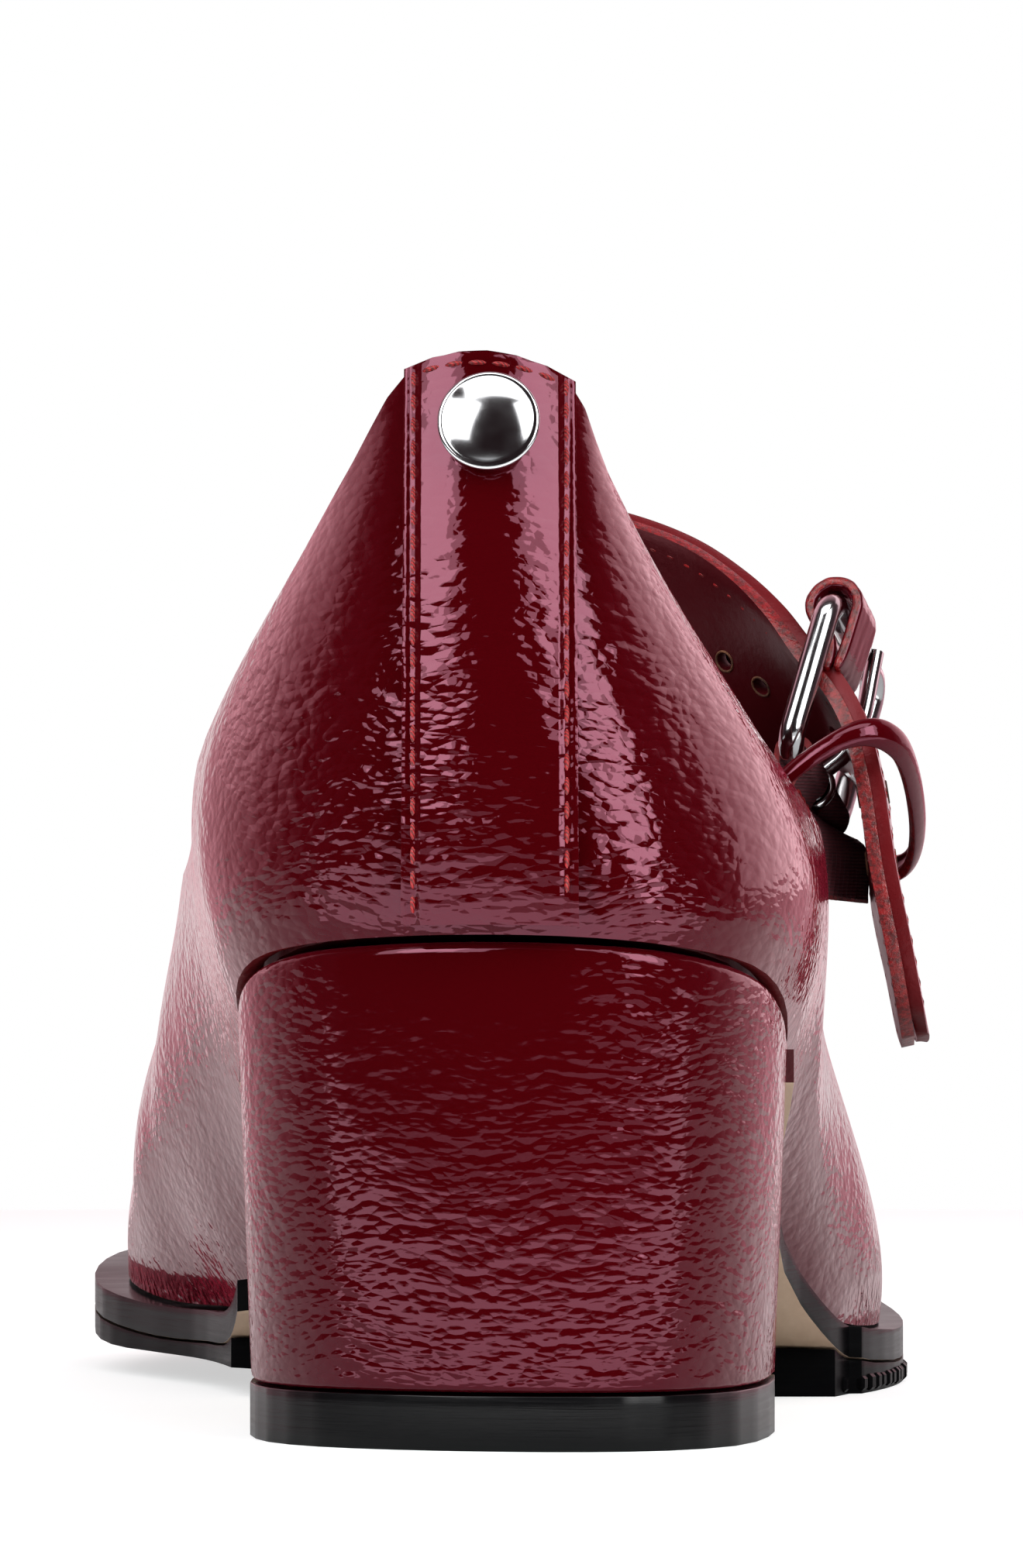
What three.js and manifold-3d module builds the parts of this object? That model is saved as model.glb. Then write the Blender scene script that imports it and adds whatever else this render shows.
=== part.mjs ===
// A right shoe: a block-heeled mary jane in patent leather, built from its own named pieces.
// Millimetres. X points to the outer side of the foot, Y to the toe, Z up from the floor.
// Shapes are worked out with Y counted from the back of the heel; the group at the end moves
// the shoe so that the origin lies under the middle of the top-lift.

import * as THREE from "three";
import { mergeVertices } from "three/addons/utils/BufferGeometryUtils.js";
import Module from "manifold-3d";

const wasm = await Module();
wasm.setup();

// ---- driving dimensions -------------------------------------------------------------------

const GAP = 0.3;                  // air left between pieces that meet
const WALL = 2.0;                 // upper: patent leather, stiffener and lining together
const HEEL_REST_Y = 25;           // middle of the top-lift, from the back of the heel

const INSOLE_THICKNESS = 2.4;
const INSOLE_INSET = 0.65;        // air between the insole's edge and the wall
const MIDSOLE_THICKNESS = 3.3;
const LIFT_HEIGHT = 5.2;
const BREAST_ROW = 4.85;          // row of the rib table where the heel block ends
const OUTSOLE_START_ROW = 7.95;   // row where the ribbed forepart sole starts
const MEDIAL_FLARE_ROW = 7.5;     // rows where the sole edge steps out to its full width
const LATERAL_FLARE_ROW = 8.28;
const FLARE_STEP = 0.03;          // length of that step, in rows
const WAIST_OVERHANG = 0.7;       // how far the narrow waist stands out past the upper
const BALL_Y = 158;               // the tread leaves the floor in front of this
const TOE_SPRING = 7.6;           // and has risen this far at the toe
const TOE_Y = 234;
const MEDIAL_LIFT = 3.1;          // the inner side of the tread is this much off the floor,
const MEDIAL_LIFT_START = -3;     // and rises to it from here, over this width
const MEDIAL_LIFT_RUN = 26;

const HEEL_TAPER = 0.95;          // width of the heel block at its foot over that at the seat
const HEEL_TURN = 0.085;          // the heel's own axis swings outwards by this per millimetre
const HEEL_AXIS_X = -2;           // where that axis leaves the back of the heel
const HEEL_BACK_INSET = 0.5;      // the foot of the heel starts this far forward
const HEEL_DEPTH_SCALE = 0.985;   // length of the heel's foot over that of its seat

const STRIP_WIDTH = 16.8;         // strip down the back seam
const STRIP_NARROWING = 0.03;     // share of that width lost by the topline
const STRIP_X = -2.05;            // its straight middle line
const STRIP_THICKNESS = 1.2;
const STRIP_GAP = 0.5;            // air under it, wider than elsewhere because both are faceted
const STRIP_FOOT = 0.085;         // it starts and ends at these shares of the wall's height
const STRIP_HEAD = 0.985;
const STRIP_STEPS_UP = 14;
const STRIP_STEPS_ACROSS = 6;
const STUD_DIAMETER = 9.6;
const STUD_HEIGHT = 2.6;
const STUD_RIM_HEIGHT = 0.8;
const STUD_RIM_WIDTH = 0.35;
const STUD_V = 0.884;             // place of the stud between seat (0) and topline (1)

const STRAP_THICKNESS = 3.0;
const TAB_THICKNESS = 1.5;
const WIRE_RADIUS = 1.2;          // buckle frame
const FRAME_CORNER = 2.2;         // bend radius of its corners
const ROLLER_RADIUS = 3.1;        // leather wrapped round the upper bar, next to the back rail
const ROLLER_LENGTH = 7.6;
const ROLLER_END_GAP = 0.8;
const TAB_SIDE_GAP = 1.2;         // elastic to each rail
const EYE_WALL = 1.1;             // ring of the prong round the lower bar
const PRONG_RADIUS = 0.9;
const PRONG_HOLE_GAP = 0.4;       // air round the prong where it passes through the strap
const PRONG_SLOT = 3.4;           // cut in the tab where the prong swings on its bar
const KEEPER_WIDTH = 3.6;
const KEEPER_THICKNESS = 1.7;

const RIB_STEPS = 90;             // facets round the upper
const WALL_STEPS = 9;             // facets up the wall
const STRAP_STEPS = 52;
const TAB_STEPS = 6;
const KEEPER_STEPS = 32;
const PRONG_STEPS = 10;
const WIRE_SIDES = 10;
const PRONG_SIDES = 8;
const RING_SIDES = 16;
const STUD_SIDES = 20;
const SLOPE_STEP = 0.02;          // distance over which directions are measured on the last
const ROWS = 15;                  // last row of the rib table, at the toe
const UPRIGHT_REACH = 8;          // a rib whose top is this close to its foot, in plan, stands upright
const LEANING_REACH = 26;         // and one this far leans

// ---- the last -----------------------------------------------------------------------------
// One rib per row and side, from the seam with the sole (foot) up to the edge of the opening
// (top). A rib leaves its foot towards a belly point, outwards and up from it, and reaches its
// top from a brow point, outwards and down from it. Row 0 is the back seam, row 15 the toe.
// flare is how far the forepart sole stands out past the upper.

const COLUMNS = ["footX", "footY", "footZ", "bellyOut", "bellyUp",
  "topX", "topY", "topZ", "browOut", "browDown", "flare"];

const BACK = [-2.0, 1.0, 48.6, 4.2, 4, -2.3, 7.5, 104.3, 7.6, 22, 0];

const MEDIAL_ROWS = [
  [-11.5, 4.4, 48.4, 4.2, 4, -10.0, 9.8, 102.2, 5.8, 20, 0],
  [-19.5, 10.2, 47.7, 4.2, 5, -15.2, 14.6, 94.0, 5.6, 17, 0],
  [-24.8, 19.3, 46.2, 4.6, 9, -20.6, 24.2, 85.0, 6.0, 13, 0],
  [-26.9, 33.0, 42.9, 5.0, 11, -27.0, 37.0, 74.6, 4.6, 10, 0],
  [-26.2, 50.0, 36.9, 4.6, 10, -31.3, 51.0, 66.0, 1.6, 9, 0],
  [-25.6, 70.0, 28.0, 4.0, 10, -32.4, 69.0, 59.0, 0.6, 9, 0],
  [-25.4, 90.0, 17.6, 6.0, 12, -33.6, 89.0, 56.5, 1.0, 12, 2.4],
  [-27.4, 110.0, 9.9, 8.0, 12, -34.8, 108.0, 54.6, 2.6, 13, 2.4],
  [-31.2, 130.0, 8.7, 9.8, 15, -34.2, 126.0, 51.8, 6.0, 10, 2.3],
  [-37.8, 150.0, 8.6, 8.4, 18, -30.0, 141.0, 49.8, 9.0, 7, 2.3],
  [-42.7, 170.0, 9.8, 4.6, 18, -23.0, 151.0, 48.4, 14.0, 6, 3.5],
  [-43.2, 190.0, 11.6, 3.2, 14, -17.4, 156.2, 47.2, 20.0, 8, 4.0],
  [-39.4, 209.0, 13.0, 2.4, 13, -12.2, 160.2, 46.5, 26.0, 10, 4.2],
  [-28.6, 225.6, 14.2, 2.2, 12, -7.6, 162.2, 46.2, 34.0, 12, 4.2],
];

const TOE = [-9.4, 233.2, 14.6, 2.2, 11, -2.8, 162.8, 46.1, 38.0, 13, 4.0];

const LATERAL_ROWS = [
  [7.6, 0.1, 48.3, 4.2, 4, 5.6, 9.6, 101.2, 6.2, 20, 0],
  [16.0, 2.9, 47.4, 4.2, 5, 9.2, 13.6, 93.0, 7.0, 17, 0],
  [23.0, 12.4, 45.7, 4.6, 9, 14.6, 23.2, 83.2, 8.6, 13, 0],
  [26.5, 30.0, 42.4, 5.2, 11, 21.2, 36.0, 73.0, 8.0, 11, 0],
  [27.3, 50.0, 36.9, 5.0, 10, 28.2, 52.0, 63.6, 4.0, 9, 0],
  [26.4, 70.0, 27.8, 4.6, 9, 31.9, 69.0, 57.2, 1.4, 8, 0],
  [27.6, 90.0, 17.4, 5.0, 8, 30.8, 84.0, 45.4, 2.2, 7, 0],
  [33.8, 110.0, 8.6, 2.4, 10, 31.2, 104.0, 48.6, 1.8, 8, 1.6],
  [38.4, 130.0, 6.6, 3.4, 11, 28.6, 124.0, 50.0, 4.0, 8, 2.4],
  [40.6, 150.0, 6.5, 3.2, 12, 23.6, 140.0, 49.2, 8.0, 7, 2.6],
  [39.2, 171.0, 7.4, 2.2, 13, 17.4, 151.0, 48.2, 14.0, 6, 3.4],
  [34.4, 192.0, 9.4, 2.2, 13, 11.8, 156.2, 47.1, 20.0, 8, 3.8],
  [25.4, 211.4, 11.6, 2.2, 12, 6.8, 160.2, 46.4, 26.0, 10, 4.0],
  [10.4, 227.4, 13.6, 2.2, 12, 2.0, 162.2, 46.2, 34.0, 12, 4.0],
];

const RIBS = [BACK, ...MEDIAL_ROWS, TOE, ...[...LATERAL_ROWS].reverse()];

function wrap(index, count) {
  return ((index % count) + count) % count;
}

// A smooth curve through four neighbouring values.
function throughFour(a, b, c, d, t) {
  const slopeB = (c - a) / 2;
  const slopeC = (d - b) / 2;
  const t2 = t * t;
  const t3 = t2 * t;
  return b * (2 * t3 - 3 * t2 + 1) + slopeB * (t3 - 2 * t2 + t) + c * (3 * t2 - 2 * t3) + slopeC * (t3 - t2);
}

// The rib at any place round the last; 0 is the back seam, ROWS the toe, RIBS.length the back again.
function ribAt(place) {
  const start = Math.floor(place);
  const t = place - start;
  const near = [-1, 0, 1, 2].map((step) => RIBS[wrap(start + step, RIBS.length)]);
  const rib = {};
  COLUMNS.forEach((name, column) => {
    rib[name] = throughFour(near[0][column], near[1][column], near[2][column], near[3][column], t);
  });
  return rib;
}

// Unit vector square to the seam with the sole, level, pointing away from the foot.
function planNormal(place) {
  const before = ribAt(place - SLOPE_STEP);
  const after = ribAt(place + SLOPE_STEP);
  const alongX = after.footX - before.footX;
  const alongY = after.footY - before.footY;
  return new THREE.Vector3(-alongY, alongX, 0).normalize();
}

// Level direction in which a rib bulges: square to the seam where the wall stands upright, and
// from the opening's edge towards the rib's own foot where the wall leans over the toes.
function outward(place, rib) {
  const lean = new THREE.Vector3(rib.footX - rib.topX, rib.footY - rib.topY, 0);
  const share = THREE.MathUtils.smoothstep(lean.length(), UPRIGHT_REACH, LEANING_REACH);
  return planNormal(place).lerp(lean.normalize(), share).normalize();
}

// A point on the outside of the upper; up runs from the foot of the wall (0) to its top (1).
function outerWall(place, up) {
  const rib = ribAt(place);
  const out = outward(place, rib);
  const foot = new THREE.Vector3(rib.footX, rib.footY, rib.footZ);
  const top = new THREE.Vector3(rib.topX, rib.topY, rib.topZ);
  const belly = foot.clone().addScaledVector(out, rib.bellyOut);
  belly.z += rib.bellyUp;
  const brow = top.clone().addScaledVector(out, rib.browOut);
  brow.z -= rib.browDown;
  const down = 1 - up;
  return foot.multiplyScalar(down ** 3)
    .addScaledVector(belly, 3 * down * down * up)
    .addScaledVector(brow, 3 * down * up * up)
    .addScaledVector(top, up ** 3);
}

// Unit vector standing out of the upper.
function wallNormal(place, up) {
  const low = Math.max(0, up - SLOPE_STEP);
  const high = Math.min(1, up + SLOPE_STEP);
  const around = outerWall(place + SLOPE_STEP, up).sub(outerWall(place - SLOPE_STEP, up));
  const rise = outerWall(place, high).sub(outerWall(place, low));
  return rise.cross(around).normalize();
}

// A point of the upper, sunk into the wall by depth (negative stands proud of it).
function wallPoint(place, up, depth) {
  const point = outerWall(place, up).addScaledVector(wallNormal(place, up), -depth);
  if (up === 0) {
    point.z = ribAt(place).footZ + (depth > 0 ? GAP : 0);
  }
  return point;
}

// ---- mesh helpers -------------------------------------------------------------------------

function geometryFrom(points, triangles) {
  const positions = new Float32Array(points.flatMap((point) => [point.x, point.y, point.z]));
  const geometry = new THREE.BufferGeometry();
  geometry.setAttribute("position", new THREE.BufferAttribute(positions, 3));
  geometry.setIndex(triangles.flat());
  return welded(geometry);
}

function welded(geometry) {
  geometry.deleteAttribute("normal");
  geometry.deleteAttribute("uv");
  const merged = mergeVertices(geometry, 1e-3);
  const index = merged.index.array;
  const kept = [];
  for (let i = 0; i < index.length; i += 3) {
    const [a, b, c] = [index[i], index[i + 1], index[i + 2]];
    if (a !== b && b !== c && c !== a) {
      kept.push(a, b, c);
    }
  }
  merged.setIndex(kept);
  return merged;
}

function solidOf(geometry) {
  const ready = geometry.index ? geometry : welded(geometry);
  const vertProperties = new Float32Array(ready.attributes.position.array);
  const triVerts = new Uint32Array(ready.index.array);
  return new wasm.Manifold(new wasm.Mesh({ numProp: 3, vertProperties, triVerts }));
}

function geometryOf(solid) {
  const mesh = solid.getMesh();
  const geometry = new THREE.BufferGeometry();
  geometry.setAttribute("position", new THREE.BufferAttribute(new Float32Array(mesh.vertProperties), 3));
  geometry.setIndex(Array.from(mesh.triVerts));
  return geometry;
}

// Skin over rings of points, ring after ring; the last ring joins the first when looped,
// and otherwise both ends are filled.
function skin(rings, looped) {
  const count = rings[0].length;
  const points = rings.flat();
  const triangles = [];
  const last = looped ? rings.length : rings.length - 1;
  for (let r = 0; r < last; r += 1) {
    const here = r * count;
    const next = ((r + 1) % rings.length) * count;
    for (let i = 0; i < count; i += 1) {
      const j = (i + 1) % count;
      triangles.push([here + i, here + j, next + j], [here + i, next + j, next + i]);
    }
  }
  if (!looped) {
    const end = (rings.length - 1) * count;
    for (let i = 1; i < count - 1; i += 1) {
      triangles.push([0, i + 1, i], [end, end + i, end + i + 1]);
    }
  }
  return facingOut(geometryFrom(points, triangles));
}

function signedVolume(geometry) {
  const position = geometry.attributes.position;
  const index = geometry.index.array;
  const [a, b, c] = [new THREE.Vector3(), new THREE.Vector3(), new THREE.Vector3()];
  let volume = 0;
  for (let i = 0; i < index.length; i += 3) {
    a.fromBufferAttribute(position, index[i]);
    b.fromBufferAttribute(position, index[i + 1]);
    c.fromBufferAttribute(position, index[i + 2]);
    volume += a.dot(b.cross(c)) / 6;
  }
  return volume;
}

function facingOut(geometry) {
  if (signedVolume(geometry) < 0) {
    const index = Array.from(geometry.index.array);
    for (let i = 0; i < index.length; i += 3) {
      [index[i + 1], index[i + 2]] = [index[i + 2], index[i + 1]];
    }
    geometry.setIndex(index);
  }
  return geometry;
}

function steps(from, to, count) {
  return Array.from({ length: count + 1 }, (_, i) => from + (to - from) * (i / count));
}

// ---- upper --------------------------------------------------------------------------------

function upperGeometry() {
  const heights = steps(0, 1, WALL_STEPS);
  const rings = steps(0, RIBS.length, RIB_STEPS).slice(0, -1).map((place) => [
    ...heights.map((up) => wallPoint(place, up, 0)),
    ...[...heights].reverse().map((up) => wallPoint(place, up, WALL)),
  ]);
  return skin(rings, true);
}

// Strip laid over the back seam: it follows the upper, a gap and its own thickness proud of it.
function backStripGeometry() {
  const ups = steps(STRIP_FOOT, STRIP_HEAD, STRIP_STEPS_UP);
  const across = steps(-1, 1, STRIP_STEPS_ACROSS);
  const rings = ups.map((up) => {
    const half = STRIP_WIDTH / 2 * (1 - STRIP_NARROWING * up);
    const row = (depth) => across.map((side) => pointAcrossBack(STRIP_X + side * half, up, depth));
    return [...row(-STRIP_GAP), ...row(-STRIP_GAP - STRIP_THICKNESS).reverse()];
  });
  return skin(rings, false);
}

// The point of the back wall, sunk by depth, that lies at x.
function pointAcrossBack(x, up, depth) {
  const widest = 1.3;
  const halvings = 30;
  let low = -widest;
  let high = widest;
  for (let i = 0; i < halvings; i += 1) {
    const trial = (low + high) / 2;
    if (wallPoint(trial, up, depth).x > x) {
      low = trial;
    } else {
      high = trial;
    }
  }
  return wallPoint((low + high) / 2, up, depth);
}

function studGeometry() {
  const radius = STUD_DIAMETER / 2;
  const rise = STUD_HEIGHT - STUD_RIM_HEIGHT;
  const dome = steps(0, Math.PI / 2, 5).map((angle) => {
    const across = (radius - STUD_RIM_WIDTH) * Math.cos(angle);
    return new THREE.Vector2(across, STUD_RIM_HEIGHT + rise * Math.sin(angle));
  });
  dome[dome.length - 1].x = 0;
  const rim = [[0, 0], [radius, 0], [radius, STUD_RIM_HEIGHT]].map(([x, y]) => new THREE.Vector2(x, y));
  const geometry = welded(new THREE.LatheGeometry([...rim, ...dome], STUD_SIDES));
  const out = wallNormal(0, STUD_V);
  const seat = pointAcrossBack(STRIP_X, STUD_V, -STRIP_GAP - STRIP_THICKNESS - GAP);
  geometry.applyQuaternion(new THREE.Quaternion().setFromUnitVectors(new THREE.Vector3(0, 1, 0), out));
  geometry.translate(seat.x, seat.y, seat.z);
  return facingOut(geometry);
}

// ---- sole pieces --------------------------------------------------------------------------

// A point on the edge of a sole piece: the seam moved outwards by reach, in plan.
function edgePoint(place, reach) {
  const rib = ribAt(place);
  const out = planNormal(place);
  return new THREE.Vector3(rib.footX + out.x * reach, rib.footY + out.y * reach, rib.footZ);
}

// Full width of the flared forepart past its steps, and the narrow waist behind them.
function overhang(row, side) {
  const flareRow = side === "medial" ? MEDIAL_FLARE_ROW : LATERAL_FLARE_ROW;
  const flare = ribAt(side === "medial" ? row : RIBS.length - row).flare;
  const share = THREE.MathUtils.clamp((row - flareRow) / FLARE_STEP, 0, 1);
  return WAIST_OVERHANG + (flare - WAIST_OVERHANG) * share;
}

// A slab between two edges: rows run from the heel to the toe, each row from the inner to the
// outer edge. top and bottom give its height from a point on the seam's level.
function slabGeometry(rows, across, reach, top, bottom) {
  const grid = rows.map((row) => {
    const inner = edgePoint(row, reach(row, "medial"));
    const outer = edgePoint(RIBS.length - row, reach(row, "lateral"));
    return steps(0, 1, across).map((t) => inner.clone().lerp(outer, t));
  });
  const lift = (height) => (point) => new THREE.Vector3(point.x, point.y, height(point));
  const rings = grid.map((row) => [...row.map(lift(top)), ...[...row].reverse().map(lift(bottom))]);
  return skin(rings, false);
}

function treadHeight(point) {
  const spring = TOE_SPRING * Math.max(0, (point.y - BALL_Y) / (TOE_Y - BALL_Y)) ** 1.5;
  const lift = MEDIAL_LIFT * THREE.MathUtils.smoothstep(MEDIAL_LIFT_START - point.x, 0, MEDIAL_LIFT_RUN);
  return spring + lift;
}

// Closer rows where the outline turns at the heel's back and at the toe.
const endRows = [0, 0.12, 0.3, 0.6];
const toeRows = [14.4, 14.7, 14.88, ROWS];

function insoleGeometry() {
  const rows = [...endRows, ...steps(1, 14, 26), ...toeRows];
  const inset = -(WALL + INSOLE_INSET);
  return slabGeometry(rows, 3, () => inset, (p) => p.z + INSOLE_THICKNESS, (p) => p.z + GAP);
}

const midsoleTop = (point) => point.z - GAP;
const midsoleBottom = (point) => point.z - GAP - MIDSOLE_THICKNESS;

function midsoleGeometry() {
  const flares = [MEDIAL_FLARE_ROW, LATERAL_FLARE_ROW].map((row) => [row, row + FLARE_STEP]);
  const rows = [...steps(BREAST_ROW + 0.04, 7.35, 7), ...flares[0], 7.7, 7.85, 8, 8.15, ...flares[1],
    ...steps(8.5, 14, 16), ...toeRows];
  return slabGeometry(rows, 4, overhang, midsoleTop, midsoleBottom);
}

function outsoleGeometry() {
  const flareRows = [LATERAL_FLARE_ROW, LATERAL_FLARE_ROW + FLARE_STEP];
  const rows = [...steps(OUTSOLE_START_ROW, 8.16, 2), ...flareRows, ...steps(8.6, 14, 18), ...toeRows];
  return slabGeometry(rows, 10, overhang, (p) => midsoleBottom(p) - GAP, treadHeight);
}

// Outline of the heel at a share of its height: 0 at its foot, 1 at the seat.
function heelOutline(share) {
  const places = [...steps(BREAST_ROW, 1, 8), 0.6, 0.3];
  const round = [...places, 0, ...[...places].reverse().map((place) => -place)];
  return round.map((place) => {
    const seat = edgePoint(place, 0);
    const axisX = HEEL_AXIS_X + HEEL_TURN * seat.y;
    const width = HEEL_TAPER + (1 - HEEL_TAPER) * share;
    const depth = HEEL_DEPTH_SCALE + (1 - HEEL_DEPTH_SCALE) * share;
    const back = HEEL_BACK_INSET * (1 - share);
    return new THREE.Vector3(axisX + (seat.x - axisX) * width, back + seat.y * depth, seat.z - GAP);
  });
}

function heelBlockGeometry() {
  const foot = LIFT_HEIGHT + GAP;
  const rings = steps(0, 1, 4).map((share) => heelOutline(share).map((point) => {
    point.z = foot + (point.z - foot) * share;
    return point;
  }));
  return skin(rings, false);
}

function topLiftGeometry() {
  const level = (z) => heelOutline(0).map((point) => new THREE.Vector3(point.x, point.y, z));
  return skin([level(0), level(LIFT_HEIGHT)], false);
}

// ---- strap, tab and keeper ----------------------------------------------------------------

// Back edge and front edge of the strap, a row for each bend, from where it is sewn inside the
// inner side of the upper, over the instep, through the buckle and down to its tip.
const STRAP_ROWS = [
  { back: [-28.6, 80.0, 50.0], front: [-29.9, 98.0, 47.0] },
  { back: [-28.5, 82.0, 60.0], front: [-29.8, 99.4, 54.6] },
  { back: [-26.2, 90.0, 74.6], front: [-27.0, 104.0, 62.8] },
  { back: [-18.4, 98.6, 87.2], front: [-17.0, 109.4, 72.6] },
  { back: [-6.0, 103.6, 93.4], front: [-5.2, 113.4, 77.8] },
  { back: [5.0, 104.2, 94.2], front: [3.6, 113.8, 78.6] },
  { back: [12.4, 102.4, 92.6], front: [9.6, 111.9, 77.0] },
  { back: [18.8, 99.4, 90.0], front: [14.6, 109.0, 74.8] },
  { back: [23.8, 95.4, 86.4], front: [19.4, 106.0, 71.9] },
  { back: [27.6, 91.2, 82.4], front: [25.2, 104.2, 69.4] },
  { back: [30.4, 87.6, 78.4], front: [31.2, 103.0, 68.2] },
  { back: [33.3, 84.9, 74.8], front: [35.9, 101.2, 66.8] },
  { back: [35.4, 82.4, 70.6], front: [38.0, 99.6, 63.4] },
  { back: [36.9, 80.8, 64.6], front: [38.6, 98.4, 58.6] },
  { back: [38.2, 79.8, 56.0], front: [39.1, 97.8, 51.6] },
  { back: [39.9, 79.4, 47.4], front: [40.6, 97.0, 44.2] },
  { back: [41.0, 80.8, 41.6], front: [41.5, 94.6, 39.2] },
  { back: [41.7, 85.0, 38.4], front: [41.9, 90.4, 37.4] },
];

const KEEPER_LOOP = [
  [34.6, 77.3, 69.2], [39.8, 80.6, 68.2], [42.2, 90.6, 61.8], [41.8, 99.4, 56.6], [37.8, 103.0, 55.6],
  [31.4, 98.6, 56.0], [26.8, 89.2, 58.6], [26.6, 79.6, 63.4],
];

const TAB_BACK_EDGE = [[28.9, 79.6, 59.6], [28.1, 74.4, 53.0]];
const TAB_FRONT_EDGE = [[35.0, 97.4, 56.4], [36.2, 95.6, 52.6]];

function vector([x, y, z]) {
  return new THREE.Vector3(x, y, z);
}

// A flat band whose two edges follow the given curves; looped bands close on themselves.
function bandGeometry(backCurve, frontCurve, count, thickness, looped) {
  const stations = steps(0, 1, count).slice(0, looped ? -1 : undefined);
  const rings = stations.map((t) => {
    const back = backCurve.getPoint(t);
    const front = frontCurve.getPoint(t);
    const run = backCurve.getTangent(t).add(frontCurve.getTangent(t)).normalize();
    const face = front.clone().sub(back).cross(run).normalize().multiplyScalar(thickness / 2);
    return [back.clone().add(face), front.clone().add(face), front.clone().sub(face), back.clone().sub(face)];
  });
  return skin(rings, looped);
}

function curveThrough(points, looped) {
  return new THREE.CatmullRomCurve3(points, looped, "catmullrom", 0.5);
}

// ---- buckle -------------------------------------------------------------------------------

const frameTopBack = new THREE.Vector3(33.0, 86.6, 83.8);
const frameDown = new THREE.Vector3(-4.5, -5.0, -15.6);     // back rail, from the upper bar down
const frameAcross = new THREE.Vector3(5.4, 19.2, -8.4);     // upper bar, from back to front

const frameCentre = frameTopBack.clone().addScaledVector(frameDown, 0.5).addScaledVector(frameAcross, 0.5);
const acrossUnit = frameAcross.clone().normalize();
const downUnit = frameDown.clone().addScaledVector(acrossUnit, -frameDown.dot(acrossUnit)).normalize();
const outUnit = downUnit.clone().cross(acrossUnit).normalize();
if (outUnit.x < 0) {
  outUnit.negate();
}
const frameHeight = Math.abs(frameDown.dot(downUnit));
const frameWidth = frameAcross.length();

function inFrame(across, down, out) {
  return frameCentre.clone()
    .addScaledVector(acrossUnit, across)
    .addScaledVector(downUnit, down)
    .addScaledVector(outUnit, out);
}

function roundWire(path, radius, sides, looped) {
  const rings = path.map((point, i) => {
    const before = path[looped ? wrap(i - 1, path.length) : Math.max(0, i - 1)];
    const after = path[looped ? wrap(i + 1, path.length) : Math.min(path.length - 1, i + 1)];
    const run = after.clone().sub(before).normalize();
    const first = Math.abs(run.dot(outUnit)) < 0.9 ? outUnit : downUnit;
    const sideways = run.clone().cross(first).normalize();
    const third = sideways.clone().cross(run).normalize();
    return Array.from({ length: sides }, (_, k) => {
      const angle = (2 * Math.PI * k) / sides;
      return point.clone()
        .addScaledVector(sideways, radius * Math.cos(angle))
        .addScaledVector(third, radius * Math.sin(angle));
    });
  });
  return skin(rings, looped);
}

function buckleFrameGeometry() {
  const halfAcross = frameWidth / 2;
  const halfDown = frameHeight / 2;
  const path = [];
  const corners = [[1, -1, -90], [1, 1, 0], [-1, 1, 90], [-1, -1, 180]];
  for (const [signAcross, signDown, start] of corners) {
    for (const turn of steps(0, 90, 3)) {
      const angle = THREE.MathUtils.degToRad(start + turn);
      const across = signAcross * (halfAcross - FRAME_CORNER) + FRAME_CORNER * Math.cos(angle);
      const down = signDown * (halfDown - FRAME_CORNER) + FRAME_CORNER * Math.sin(angle);
      path.push(inFrame(across, down, 0));
    }
  }
  return roundWire(path, WIRE_RADIUS, WIRE_SIDES, true);
}

// Ring round one of the frame's bars.
function sleeveGeometry(across, down, length, inner, outer) {
  const half = length / 2;
  const profile = [[inner, -half], [outer, -half], [outer, half], [inner, half], [inner, -half]];
  const geometry = welded(new THREE.LatheGeometry(profile.map(([r, y]) => new THREE.Vector2(r, y)), RING_SIDES));
  const turn = new THREE.Quaternion().setFromUnitVectors(new THREE.Vector3(0, 1, 0), acrossUnit);
  geometry.applyQuaternion(turn);
  const centre = inFrame(across, down, 0);
  geometry.translate(centre.x, centre.y, centre.z);
  return facingOut(geometry);
}

function rollerGeometry() {
  const across = -frameWidth / 2 + WIRE_RADIUS + ROLLER_END_GAP + ROLLER_LENGTH / 2;
  return sleeveGeometry(across, -frameHeight / 2, ROLLER_LENGTH, WIRE_RADIUS + GAP, ROLLER_RADIUS);
}

// Block lined up with the buckle's frame, for cutting slots.
function frameBlock(across, down, out, sizeAcross, sizeDown, sizeOut) {
  const geometry = new THREE.BoxGeometry(sizeAcross, sizeDown, sizeOut);
  geometry.applyMatrix4(new THREE.Matrix4().makeBasis(acrossUnit, downUnit, acrossUnit.clone().cross(downUnit)));
  const centre = inFrame(across, down, out);
  geometry.translate(centre.x, centre.y, centre.z);
  return facingOut(welded(geometry));
}

// Elastic tape: looped round the lower bar, then flat and down inside the upper's outer side.
function elasticTabGeometry() {
  const bar = frameHeight / 2;
  const width = frameWidth - 2 * (WIRE_RADIUS + TAB_SIDE_GAP);
  const loopOuter = WIRE_RADIUS + GAP + TAB_THICKNESS;
  const loop = solidOf(sleeveGeometry(0, bar, width, WIRE_RADIUS + GAP, loopOuter));
  const start = bar + WIRE_RADIUS + GAP + TAB_THICKNESS * 0.4;
  const backEdge = curveThrough([inFrame(-width / 2, start, 0), ...TAB_BACK_EDGE.map(vector)]);
  const frontEdge = curveThrough([inFrame(width / 2, start, 0), ...TAB_FRONT_EDGE.map(vector)]);
  const tape = solidOf(bandGeometry(backEdge, frontEdge, TAB_STEPS, TAB_THICKNESS, false));
  const slot = solidOf(frameBlock(0, bar, 0, PRONG_SLOT, 2 * loopOuter + 1, 2 * loopOuter + 2));
  return geometryOf(loop.add(tape).subtract(slot));
}

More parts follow.
